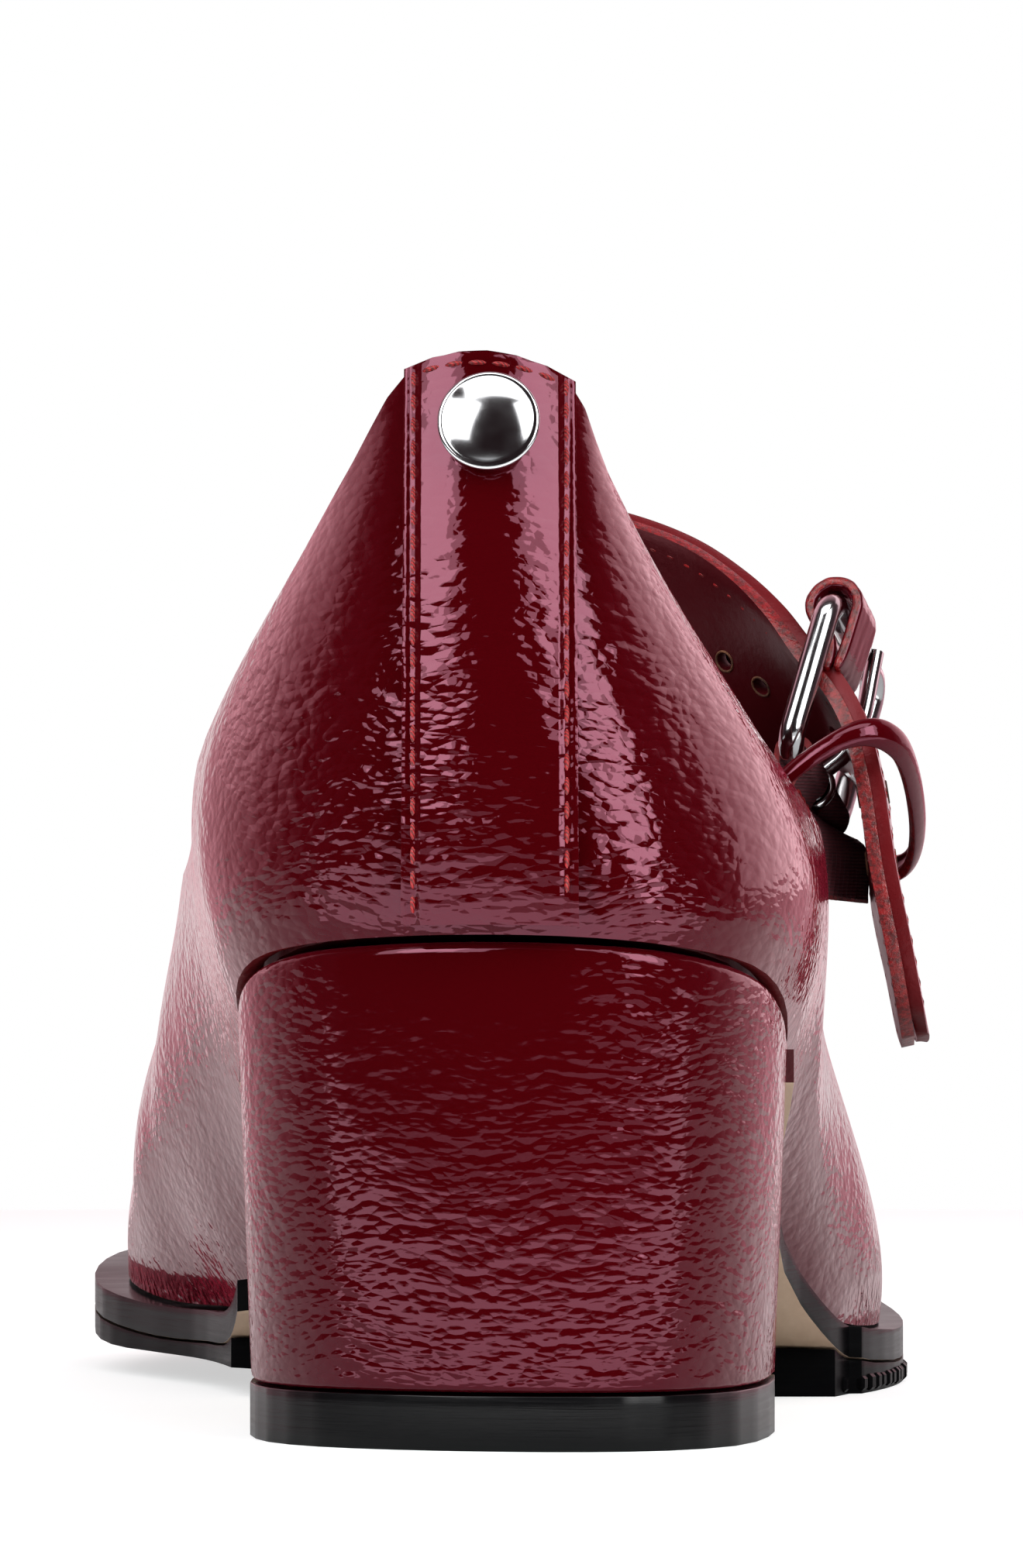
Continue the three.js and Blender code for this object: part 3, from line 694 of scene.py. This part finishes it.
def one_stitch(length, width, rise):
    """A thread between two holes: round, thicker in its middle and sunk at both ends."""
    bpy.ops.mesh.primitive_cylinder_add(vertices=6, radius=width / 2, depth=length,
                                        rotation=(0, math.pi / 2, 0))
    stitch = bpy.context.object
    settle(stitch)
    edit(stitch)
    for share in (-0.32, 0, 0.32):
        bpy.ops.mesh.select_all(action="SELECT")
        bpy.ops.mesh.bisect(plane_co=(share * length, 0, 0), plane_no=(1, 0, 0))
    leave()
    for vertex in stitch.data.vertices:
        out = min(1, abs(2 * vertex.co.x / length))
        vertex.co.y *= 1 - 0.5 * out ** 3
        vertex.co.z = vertex.co.z * (1 - 0.5 * out ** 3) + rise * (1 - out ** 2)
    return stitch


def sew(name, spots, length=1.7 * MM, width=0.5 * MM, rise=0.2 * MM, sunk=0.14 * MM):
    """Copies one stitch to every spot, a spot being where, along which way, and facing where."""
    pattern = one_stitch(length, width, rise)
    copies = []
    for where, along, facing in spots:
        forward = along.normalized()
        side = facing.cross(forward).normalized()
        up = forward.cross(side).normalized()
        stitch = add(name, pattern.data.copy())
        turn = Matrix((forward, side, up)).transposed().to_4x4()
        stitch.data.transform(Matrix.Translation(where - up * sunk) @ turn)
        copies.append(stitch)
    bpy.data.objects.remove(pattern)
    row = join(name, copies)
    paint_faces(row, thread)
    return row


def row_on_line(points, pitch):
    """Even spots along a line of (place, facing)."""
    spots = []
    carried = 0.0
    for (a, facing_a), (b, facing_b) in zip(points, points[1:]):
        run = (b - a).length
        while carried < run:
            share = carried / run
            spots.append((a.lerp(b, share), b - a, facing_a.lerp(facing_b, share)))
            carried += pitch
        carried -= run
    return spots


def strip_stitch_line():
    """Up the inner edge, along the rounded top and down the outer edge."""
    strip = surface_of("back_strip")
    inset = STRIP_HALF - STITCH_INSET

    def top_of(x):
        """The height of the strip's rounded top, found by halving."""
        low, high = 90 * MM, 106 * MM
        for _ in range(24):
            trial = (low + high) / 2
            if touch(strip, (x, -0.1, trial), (0, 1, 0))[0] is None:
                high = trial
            else:
                low = trial
        return low - 1.0 * MM

    places = []
    climb = [51.5 * MM + i * 1.0 * MM for i in range(52)]
    for side in (-1, 1):
        x = STRIP_X + side * inset
        column = [(x, z) for z in climb if z < top_of(x) - 0.5 * MM]
        if side < 0:
            places += column
            for tenth in range(-10, 11):
                across = STRIP_X + tenth / 10 * inset
                places.append((across, top_of(across)))
        else:
            places += column[::-1]
    line = []
    for x, z in places:
        point, facing = touch(strip, (x, -0.1, z), (0, 1, 0))
        if point is not None:
            line.append((point, facing))
    return line


def make_strip_stitches():
    return hand_in(sew("back_strip_stitches", row_on_line(strip_stitch_line(), STRIP_PITCH)), "patent")


# ---- strap, keeper, tab and buckle ----------------------------------------------------------

def mm(*numbers):
    """A place given in millimetres from the back of the heel, in the part's frame."""
    return Vector((numbers[0] * MM, numbers[1] * MM + HEEL_BACK, numbers[2] * MM))


STRAP_ROWS = [
    ((-28.6, 80.0, 50.0), (-29.9, 98.0, 47.0)),
    ((-28.5, 82.0, 60.0), (-29.8, 99.4, 54.6)),
    ((-26.2, 90.0, 74.6), (-27.0, 104.0, 62.8)),
    ((-18.4, 98.6, 87.2), (-17.0, 109.4, 72.6)),
    ((-6.0, 103.6, 93.4), (-5.2, 113.4, 77.8)),
    ((5.0, 104.2, 94.2), (3.6, 113.8, 78.6)),
    ((12.4, 102.4, 92.6), (9.6, 111.9, 77.0)),
    ((18.8, 99.4, 90.0), (14.6, 109.0, 74.8)),
    ((23.8, 95.4, 86.4), (19.4, 106.0, 71.9)),
    ((27.6, 91.2, 82.4), (25.2, 104.2, 69.4)),
    ((30.4, 87.6, 78.4), (31.2, 103.0, 68.2)),
    ((33.3, 84.9, 74.8), (35.9, 101.2, 66.8)),
    ((35.4, 82.4, 70.6), (38.0, 99.6, 63.4)),
    ((36.9, 80.8, 64.6), (38.6, 98.4, 58.6)),
    ((38.2, 79.8, 56.0), (39.1, 97.8, 51.6)),
    ((39.9, 79.4, 47.4), (40.6, 97.0, 44.2)),
    ((41.0, 80.8, 41.6), (41.5, 94.6, 39.2)),
    ((41.7, 85.0, 38.4), (41.9, 90.4, 37.4)),
]
STRAP_BACK = [mm(*back) for back, _ in STRAP_ROWS]
STRAP_FRONT = [mm(*front) for _, front in STRAP_ROWS]


JUST_OVER_ONE = 1.0000001     # wraps a share of a loop, and leaves a band's far end at 1


def band_point(back_edge, front_edge, along, across, lift, looped=False):
    """A place on a band: along and across run from 0 to 1, lift stands out of its middle."""
    step = 0.002
    back = smooth_path(back_edge, along, looped)
    front = smooth_path(front_edge, along, looped)
    ahead, behind = along + step, along - step
    if not looped:
        ahead, behind = min(ahead, 1), max(behind, 0)
    ahead, behind = ahead % JUST_OVER_ONE, behind % JUST_OVER_ONE
    run = (smooth_path(back_edge, ahead, looped) - smooth_path(back_edge, behind, looped)
           + smooth_path(front_edge, ahead, looped) - smooth_path(front_edge, behind, looped))
    outward = run.cross(front - back).normalized()
    return back.lerp(front, across) + outward * lift, run.normalized(), outward


def make_band(name, back_edge, front_edge, steps, across, shape, thickness, materials, looped=False,
              side=1, opening=None):
    """A grid laid on the band and given its thickness. shape moves each of its points, the face stands
    on the band's outer side, or on its inner side where side is -1, and opening picks the faces that
    are cut out, by their place down and across the buckle."""
    bpy.ops.mesh.primitive_grid_add(x_subdivisions=steps, y_subdivisions=across, size=1)
    piece = bpy.context.object
    piece.name = name
    for vertex in piece.data.vertices:
        u, v, lift = shape(vertex.co.x + 0.5, vertex.co.y + 0.5)
        if looped:
            u = u % 1.0 if u < 0.9999 else 0.0
        vertex.co = band_point(back_edge, front_edge, u, v, lift, looped)[0]
    if looped:
        edit(piece)
        bpy.ops.mesh.remove_doubles(threshold=0.01 * MM)
        leave()
    middle, _, outward = band_point(back_edge, front_edge, 0.5, 0.5, 0, looped)
    nearest = min(piece.data.polygons, key=lambda face: (face.center - middle).length)
    if nearest.normal.dot(outward) * side < 0:
        turn_inside_out(piece)
    if opening:
        face_mode(piece, lambda face: opening((face.center - FRAME_MIDDLE).dot(DOWN),
                                              (face.center - FRAME_MIDDLE).dot(ACROSS)))
        bpy.ops.mesh.delete(type="FACE")
        leave_faces()
    paint_faces(piece, *materials)
    modify(piece, "SOLIDIFY", thickness=thickness, offset=-1, material_offset_rim=len(materials) - 1)
    return piece


HOLE_RADIUS = 1.0 * MM
PRONG_HOLE_RADIUS = 1.5 * MM
UPPER_HOLES = (23.3 * MM, 27.0 * MM)      # where the two holes above the buckle lie, along X
LOWER_HOLES = (7.5 * MM, 14.5 * MM)       # how far down the strap from the prong the two others lie
STRAP_STEPS = 400


def strap_middle(share):
    """A place on the strap's middle line, and the way it faces there."""
    place, _, outward = band_point(STRAP_BACK, STRAP_FRONT, share, 0.5, 0)
    return place, outward


def strap_share_after(share, distance):
    """The share of the strap that lies a distance further along its middle."""
    gone = 0.0
    here = strap_middle(share)[0]
    while gone < distance:
        share += 1 / STRAP_STEPS
        there = strap_middle(share)[0]
        gone += (there - here).length
        here = there
    return share


def strap_share_near(place):
    """The share of the strap whose middle lies nearest a place."""
    shares = [i / STRAP_STEPS for i in range(STRAP_STEPS + 1)]
    return min(shares, key=lambda share: (strap_middle(share)[0] - place).length)


def strap_share_at(x):
    """The share of the strap, on its way down the outer side, whose middle has this X."""
    shares = [0.3 + 0.4 * i / STRAP_STEPS for i in range(STRAP_STEPS + 1)]
    return min(shares, key=lambda share: abs(strap_middle(share)[0].x - x))


def punch(piece, spots, radius):
    """Cuts round holes through a piece at (place, direction)."""
    for place, direction in spots:
        bpy.ops.mesh.primitive_cylinder_add(vertices=20, radius=radius, depth=9 * MM, location=place,
                                            rotation=upright_on(direction))
        cutter = bpy.context.object
        settle(cutter)
        modify(piece, "BOOLEAN", operation="DIFFERENCE", object=cutter, solver="EXACT")
        bpy.data.objects.remove(cutter)


PLY = 1.35 * MM               # the strap is two plies, with a seam of 0.25 mm between them


def make_strap():
    """Patent leather glued to a lining, with punched holes; the prong goes through one of them."""
    prong_low, prong_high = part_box("buckle_prong")
    prong_share = strap_share_near((prong_low + prong_high) / 2 + Vector((0, 0, -1 * MM)))
    hole_shares = [strap_share_at(x) for x in UPPER_HOLES]
    hole_shares += [strap_share_after(prong_share, distance) for distance in LOWER_HOLES]
    holes = [strap_middle(share) for share in hole_shares]

    def crowned(lift, crown):
        return lambda u, v: (u, v, lift - crown * abs(2 * v - 1) ** 4)

    outer = make_band("strap_outer_leather", STRAP_BACK, STRAP_FRONT, 220, 14,
                      crowned(1.5 * MM, 0.25 * MM), PLY, [patent_strap, edge_dark])
    inner = make_band("strap_lining", STRAP_BACK, STRAP_FRONT, 220, 14,
                      crowned(-0.1 * MM, 0), PLY, [lining, edge_paint])
    for piece in (outer, inner):
        punch(piece, holes, HOLE_RADIUS)
        punch(piece, [strap_middle(prong_share)], PRONG_HOLE_RADIUS)
        round_edges(piece, 0.22 * MM, 2, angle=50)
        hand_in(piece, "patent" if piece is outer else "lining", "strap", angle=45)
    rims = []
    for place, outward in holes:
        for lift in (-1.47 * MM, 1.52 * MM):
            bpy.ops.mesh.primitive_torus_add(major_radius=HOLE_RADIUS + 0.12 * MM, minor_radius=0.13 * MM,
                                             major_segments=20, minor_segments=8,
                                             location=place + outward * lift,
                                             rotation=upright_on(outward))
            rim = bpy.context.object
            settle(rim)
            rims.append(rim)
    edges = join("strap_hole_edges", rims)
    paint_faces(edges, hole_edge)
    hand_in(edges, "board")


def strap_edge_line(across, lift):
    """A line along the strap, so far in from its back edge, or from its front edge where across is
    negative, on its outer face, or on its inner face where lift is negative."""
    first, last, steps = 0.03, 0.95, 240
    line = []
    for i in range(steps + 1):
        share = first + (last - first) * i / steps
        width = (smooth_path(STRAP_FRONT, share) - smooth_path(STRAP_BACK, share)).length
        inset = across / width if across > 0 else 1 + across / width
        place, _, outward = band_point(STRAP_BACK, STRAP_FRONT, share, inset, lift)
        line.append((place, outward if lift > 0 else -outward))
    return line


STRAP_INSET, STRAP_PITCH = 1.9 * MM, 2.2 * MM


def make_strap_stitches():
    """A row along each edge, on the strap's outer face and on its inner one."""
    spots = []
    for across in (STRAP_INSET, -STRAP_INSET):
        for lift in (1.44 * MM, -1.45 * MM):
            spots += row_on_line(strap_edge_line(across, lift), STRAP_PITCH)
    return hand_in(sew("strap_stitches", spots, length=1.6 * MM, width=0.42 * MM, rise=0.14 * MM,
                       sunk=0.26 * MM), "patent")


UPPER_BACK_CORNER = mm(33.0, 86.6, 83.8)      # where the upper bar and the back rail would cross
FRAME_DOWN = Vector((-4.5, -5.0, -15.6)) * MM
FRAME_ACROSS = Vector((5.4, 19.2, -8.4)) * MM
ACROSS = FRAME_ACROSS.normalized()
DOWN = (FRAME_DOWN - ACROSS * FRAME_DOWN.dot(ACROSS)).normalized()
OUT = DOWN.cross(ACROSS).normalized()
if OUT.x < 0:
    OUT.negate()
FRAME_MIDDLE = UPPER_BACK_CORNER + FRAME_DOWN / 2 + FRAME_ACROSS / 2
FRAME_HIGH = abs(FRAME_DOWN.dot(DOWN))
FRAME_WIDE = FRAME_ACROSS.length
BAR = FRAME_HIGH / 2          # each bar lies so far from the frame's middle


def in_frame(across, down, out):
    """A place beside the buckle's middle: along its bars, down its rails and outwards, in metres."""
    return FRAME_MIDDLE + ACROSS * across + DOWN * down + OUT * out


def from_frame(piece):
    """Carries a piece built flat (X along the bars, Y down the rails, Z outwards) to the buckle."""
    axes = Matrix((ACROSS, DOWN, OUT))
    piece.data.transform(Matrix.Translation(FRAME_MIDDLE) @ axes.transposed().to_4x4())
    if axes.determinant() < 0:
        turn_inside_out(piece)


FRAME_CORNER = 2.6 * MM
WIRE_RADIUS = 1.35 * MM


def make_buckle_frame():
    """Round wire bent into a rectangle with soft corners."""
    bpy.ops.mesh.primitive_plane_add(size=1)
    piece = bpy.context.object
    piece.scale = (FRAME_WIDE, FRAME_HIGH, 1)
    settle(piece)
    edit(piece)
    bpy.ops.mesh.delete(type="ONLY_FACE")
    bpy.ops.mesh.select_all(action="SELECT")
    bpy.ops.mesh.bevel(offset=FRAME_CORNER, segments=7, affect="VERTICES")
    leave()
    pick(piece)
    bpy.ops.object.convert(target="CURVE")
    wire = bpy.context.object
    wire.data.bevel_depth = WIRE_RADIUS
    wire.data.bevel_resolution = 6
    bpy.ops.object.convert(target="MESH")
    wire = bpy.context.object
    wire.name = "buckle_wire"
    wire.data.materials.clear()
    from_frame(wire)
    paint_faces(wire, silver)
    return hand_in(wire, "silver", "buckle_frame", angle=60)


def make_tube(name, path, radius, steps, material):
    """A round bar along a smooth path, with rounded ends."""
    mesh = bpy.data.meshes.new(name)
    points = [smooth_path(path, i / steps) for i in range(steps + 1)]
    mesh.from_pydata(points, [(i, i + 1) for i in range(steps)], [])
    pick(add(name, mesh))
    bpy.ops.object.convert(target="CURVE")
    wire = bpy.context.object
    wire.data.bevel_depth = radius
    wire.data.bevel_resolution = 5
    wire.data.use_fill_caps = True
    bpy.ops.object.convert(target="MESH")
    wire = bpy.context.object
    wire.name = name
    wire.data.materials.clear()
    round_edges(wire, radius * 0.6, 4, angle=60)
    paint_faces(wire, material)
    return wire


def make_prong():
    """A bent pin that lies over the strap, and its eye round the lower bar."""
    path = [in_frame(0, BAR - 2.1 * MM, 1.0 * MM), in_frame(0, BAR - 4.5 * MM, 2.6 * MM),
            in_frame(0, 0, 3.3 * MM), in_frame(0, 3.0 * MM - BAR, 2.9 * MM),
            in_frame(0, 0.8 * MM - BAR, 2.7 * MM)]
    pin = make_tube("prong_pin", path, 0.85 * MM, 40, silver)
    bpy.ops.mesh.primitive_torus_add(major_radius=2.05 * MM, minor_radius=0.6 * MM, major_segments=36,
                                     minor_segments=12, location=in_frame(0, BAR, 0),
                                     rotation=upright_on(ACROSS))
    eye = bpy.context.object
    settle(eye)
    paint_faces(eye, silver)
    return hand_in(join("prong", [eye, pin]), "silver", "buckle_prong", angle=50)


WRAP_LENGTH = 7.0 * MM


def make_wrap():
    """Leather wrapped round the upper bar, its two ends glued together and hanging outside the strap."""
    radius, ply = 3.1 * MM, 1.15 * MM
    outer_ply = [(down * MM, out * MM)
                 for down, out in ((7.4, 2.75), (5.6, 3.0), (3.8, 3.1), (1.8, 3.12))]
    inner_ply = [(down * MM, out * MM)
                 for down, out in ((3.4, -0.25), (4.4, 0.35), (5.8, 0.55), (7.4, 0.5))]
    turns = 30
    angles = [math.radians(90 + 236 * i / turns) for i in range(turns + 1)]
    ring = [(math.cos(angle) * radius, math.sin(angle) * radius) for angle in angles]
    section = outer_ply + ring + inner_ply
    columns = 12
    back_end = -FRAME_WIDE / 2 + 1.1 * MM
    points, faces = [], []
    for j in range(columns + 1):
        across = back_end + WRAP_LENGTH * j / columns
        for k, (down, out) in enumerate(section):
            swell = 1 + 0.16 * MM * noise.noise(Vector((j * 0.9, k * 0.55, 3.1))) / radius
            points.append(in_frame(across, -BAR + down * swell, out * swell))
    count = len(section)
    for j in range(columns):
        for k in range(count - 1):
            a = j * count + k
            faces.append((a, a + 1, a + count + 1, a + count))
    mesh = bpy.data.meshes.new("bar_wrap")
    mesh.from_pydata(points, [], faces)
    piece = add("bar_wrap", mesh)
    paint_faces(piece, patent_strap, edge_paint)
    probe = mesh.polygons[(columns // 2) * (count - 1) + len(outer_ply) + turns // 2]
    from_bar = probe.center - in_frame(0, -BAR, 0)
    if probe.normal.dot(from_bar - ACROSS * from_bar.dot(ACROSS)) < 0:
        turn_inside_out(piece)
    modify(piece, "SOLIDIFY", thickness=ply, offset=-1, material_offset_rim=1)
    subdivide(piece, 1)
    return hand_in(piece, "patent", "buckle_roller", angle=50)


KEEPER_LOOP = [mm(*p) for p in (
    (34.6, 77.3, 69.2), (39.8, 80.6, 68.2), (42.2, 90.6, 61.8), (41.8, 99.4, 56.6), (37.8, 103.0, 55.6),
    (31.4, 98.6, 56.0), (26.8, 89.2, 58.6), (26.6, 79.6, 63.4))]
KEEPER_WIDTH = 3.4 * MM


def make_keeper():
    """Loop that holds the strap's end: a narrow band, rounded on its outer face."""
    upper_edge = [p - DOWN * KEEPER_WIDTH / 2 for p in KEEPER_LOOP]
    lower_edge = [p + DOWN * KEEPER_WIDTH / 2 for p in KEEPER_LOOP]
    centre = sum(KEEPER_LOOP, Vector()) / len(KEEPER_LOOP)
    probe, _, outward = band_point(upper_edge, lower_edge, 0.1, 0.5, 0, True)
    sign = 1 if outward.dot(probe - centre) > 0 else -1

    def half_round(u, v):
        return u, v, sign * (0.7 - 0.7 * abs(2 * v - 1) ** 2.4) * MM

    piece = make_band("keeper_loop", upper_edge, lower_edge, 96, 10, half_round, 1.1 * MM,
                      [patent_strap, edge_paint], looped=True, side=sign)
    point_faces_out(piece)
    round_edges(piece, 0.2 * MM, 2, angle=50)
    return hand_in(piece, "patent", "keeper", angle=45)


TAB_WIDE = FRAME_WIDE - 4.8 * MM
TAB_RIBS = 17
TAB_TACKS = 17


def make_tab():
    """Ribbed elastic: up from inside the upper, round the lower bar and back down, sewn to itself."""
    half = TAB_WIDE / 2
    back = [mm(28.1, 74.4, 53.0), mm(28.9, 79.6, 59.6), in_frame(-half, BAR + 2.6 * MM, -0.9 * MM)]
    front = [mm(36.6, 96.2, 52.2), mm(36.4, 98.4, 57.6), in_frame(half, BAR + 2.6 * MM, -0.9 * MM)]
    for degrees in (250, 205, 160, 115, 70, 40):
        angle = math.radians(degrees)
        down, out = BAR + math.cos(angle) * 1.95 * MM, math.sin(angle) * 1.95 * MM
        back.append(in_frame(-half, down, out))
        front.append(in_frame(half, down, out))
    for down, out in ((BAR + 3.2 * MM, 0.75 * MM), (BAR + 6.4 * MM, 0.55 * MM)):
        back.append(in_frame(-half, down, out))
        front.append(in_frame(half, down, out))

    def ribs(u, v):
        edge = 0.35 * MM * (random.random() - 0.5) if u > 0.999 or u < 0.001 else 0
        return min(1, max(0, u + edge)), v, 0.2 * MM * math.cos(math.tau * TAB_RIBS * v) + 0.1 * MM

    piece = make_band("elastic_tape", back, front, 70, TAB_RIBS * 6, ribs, 0.85 * MM,
                      [elastic, suede_edge],
                      opening=lambda down, across: abs(across) < 1.4 * MM and abs(down - BAR) < 2.6 * MM)
    hand_in(piece, "elastic", "elastic_tab", angle=40)
    spots = []
    for down in (3.6 * MM, 5.4 * MM):
        for i in range(TAB_TACKS):
            across = -half + 1.0 * MM + (TAB_WIDE - 2.0 * MM) * i / (TAB_TACKS - 1)
            lean = 0.6 if i % 2 else -0.6
            spots.append((in_frame(across, BAR + down, 1.25 * MM), ACROSS + DOWN * lean, OUT))
    return hand_in(sew("tab_bar_tacks", spots, length=1.5 * MM, rise=0.15 * MM), "elastic")


make_upper()
make_smooth("insole", "insole_sock", "lining", [lining], 0.4 * MM)
make_strip()
make_strip_stitches()
make_stud()
make_heel()
make_smooth("top_lift", "top_lift_rubber", "rubber", [lift_rubber], 0.35 * MM)
make_midsole()
make_tread()
make_strap()
make_strap_stitches()
make_keeper()
make_tab()
make_buckle_frame()
make_prong()
make_wrap()


# ---- floor, light and camera -----------------------------------------------------------------

ROSE = (1, 0.52, 0.6)                     # tints the surround, as reflections see it, and a side lamp
SURROUND = ((0.37, 0.02), (0.4, 0.06), (0.56, 0.06), (0.66, 0.3), (0.8, 0.6), (0.98, 0.7), (1.0, 0.7))
FLOOR_GLOW = 0.58
CARD_NEAR, CARD_FAR = -0.05, -0.17        # Y of the fill card's two long edges
CARD_LENGTH, CARD_RADIANCE = 1.0, 2.0
LAMP_TARGET = Vector((0, 0, 0.06))
CAMERA_PLACE = (0, -0.885, 0.0467)
CAMERA_TILT = 1.072                       # degrees above the level
CAMERA_LENS = 210.06


def make_floor():
    """Pale paper, which glows a little for the camera only."""
    bpy.ops.mesh.primitive_circle_add(vertices=96, radius=0.7, fill_type="NGON", location=(0, 0.1, 0))
    floor = bpy.context.object
    floor.name = "studio_floor"
    settle(floor)
    pale = Paint("studio_paper", Base_Color=(0.5, 0.545, 0.54, 1), Roughness=0.9)
    pale.set("Specular IOR Level", 0.1)
    pale.set("Emission Strength", FLOOR_GLOW)
    pale.set("Emission Color", pale.mix(pale.node("ShaderNodeLightPath"), (0, 0, 0, 1), (1, 1, 1, 1)))
    floor.data.materials.append(pale.material)


def flat_lamp(name, width, height, radiance, place, turned, colour=(1, 1, 1)):
    lamp = bpy.data.lights.new(name, "AREA")
    lamp.shape = "RECTANGLE"
    lamp.size = width
    lamp.size_y = height
    lamp.energy = radiance * math.pi * width * height
    lamp.color = colour
    light = add(name, lamp)
    light.location = place
    light.rotation_euler = turned
    light.visible_camera = False


def softbox(name, azimuth, low, high, width, radiance, colour=(1, 1, 1), distance=1.2):
    """A flat lamp that faces the shoe, between two heights in degrees; azimuth counts from behind the
    heel towards its outer side."""
    turn, middle = math.radians(azimuth), math.radians((low + high) / 2)
    height = 2 * distance * math.tan(math.radians((high - low) / 2))
    away = Vector((math.sin(turn) * math.cos(middle), -math.cos(turn) * math.cos(middle),
                   math.sin(middle)))
    flat_lamp(name, width, height, radiance, LAMP_TARGET + away * distance,
              (-away).to_track_quat("-Z", "Y").to_euler(), colour)


def make_lamps():
    """Two tall softboxes with bright cores, one above, two weak ones at the sides of the toe, and a
    glowing card that lies on the floor behind the heel and faces up."""
    softbox("softbox_outer", 45, 4, 50, 0.75, 4)
    softbox("softbox_outer_core", 46, 7, 46, 0.42, 4.4)
    softbox("softbox_inner", -45, 12, 50, 0.75, 4)
    softbox("softbox_inner_core", -46, 15, 46, 0.42, 4.4)
    softbox("softbox_above", 0, 56, 84, 1.1, 4, distance=1.1)
    softbox("side_box_outer", 138, 1, 50, 1.1, 0.95, (1, 0.72, 0.76))
    softbox("side_box_inner", -138, 8, 50, 1.1, 0.4, ROSE)
    flat_lamp("fill_card", CARD_LENGTH, CARD_NEAR - CARD_FAR, CARD_RADIANCE,
              (0, (CARD_NEAR + CARD_FAR) / 2, 0.5 * MM), (math.pi, 0, 0))


def make_world():
    """A plain surround, white to the camera, dark behind the heel and brighter towards the toe."""
    world = bpy.data.worlds.new("studio")
    bpy.context.scene.world = world
    world.use_nodes = True
    tree = world.node_tree
    tree.nodes.clear()
    coordinates = tree.nodes.new("ShaderNodeTexCoord")
    parts = tree.nodes.new("ShaderNodeSeparateXYZ")
    shifted = tree.nodes.new("ShaderNodeMapRange")
    shifted.inputs["From Min"].default_value = -1
    ramp = tree.nodes.new("ShaderNodeValToRGB")
    for place, level in SURROUND:
        stop = ramp.color_ramp.elements.new(place)
        stop.color = (*(level * share for share in ROSE), 1)
    ramp.color_ramp.elements.remove(ramp.color_ramp.elements[0])
    seen = tree.nodes.new("ShaderNodeLightPath")
    pick_white = tree.nodes.new("ShaderNodeMix")
    pick_white.data_type = "RGBA"
    pick_white.inputs[7].default_value = (1, 1, 1, 1)
    background = tree.nodes.new("ShaderNodeBackground")
    output = tree.nodes.new("ShaderNodeOutputWorld")
    link = tree.links.new
    link(coordinates.outputs["Generated"], parts.inputs[0])
    link(parts.outputs[1], shifted.inputs["Value"])
    link(shifted.outputs[0], ramp.inputs[0])
    link(seen.outputs["Is Camera Ray"], pick_white.inputs[0])
    link(ramp.outputs[0], pick_white.inputs[6])
    link(pick_white.outputs[2], background.inputs["Color"])
    link(background.outputs[0], output.inputs[0])


def make_camera():
    lens = bpy.data.cameras.new("camera")
    lens.lens = CAMERA_LENS
    lens.clip_start = 0.01
    camera = add("camera", lens)
    camera.location = CAMERA_PLACE
    camera.rotation_euler = (math.radians(90 + CAMERA_TILT), 0, 0)
    bpy.context.scene.camera = camera


make_floor()
make_world()
make_lamps()
make_camera()
bpy.context.scene.view_settings.view_transform = "Standard"
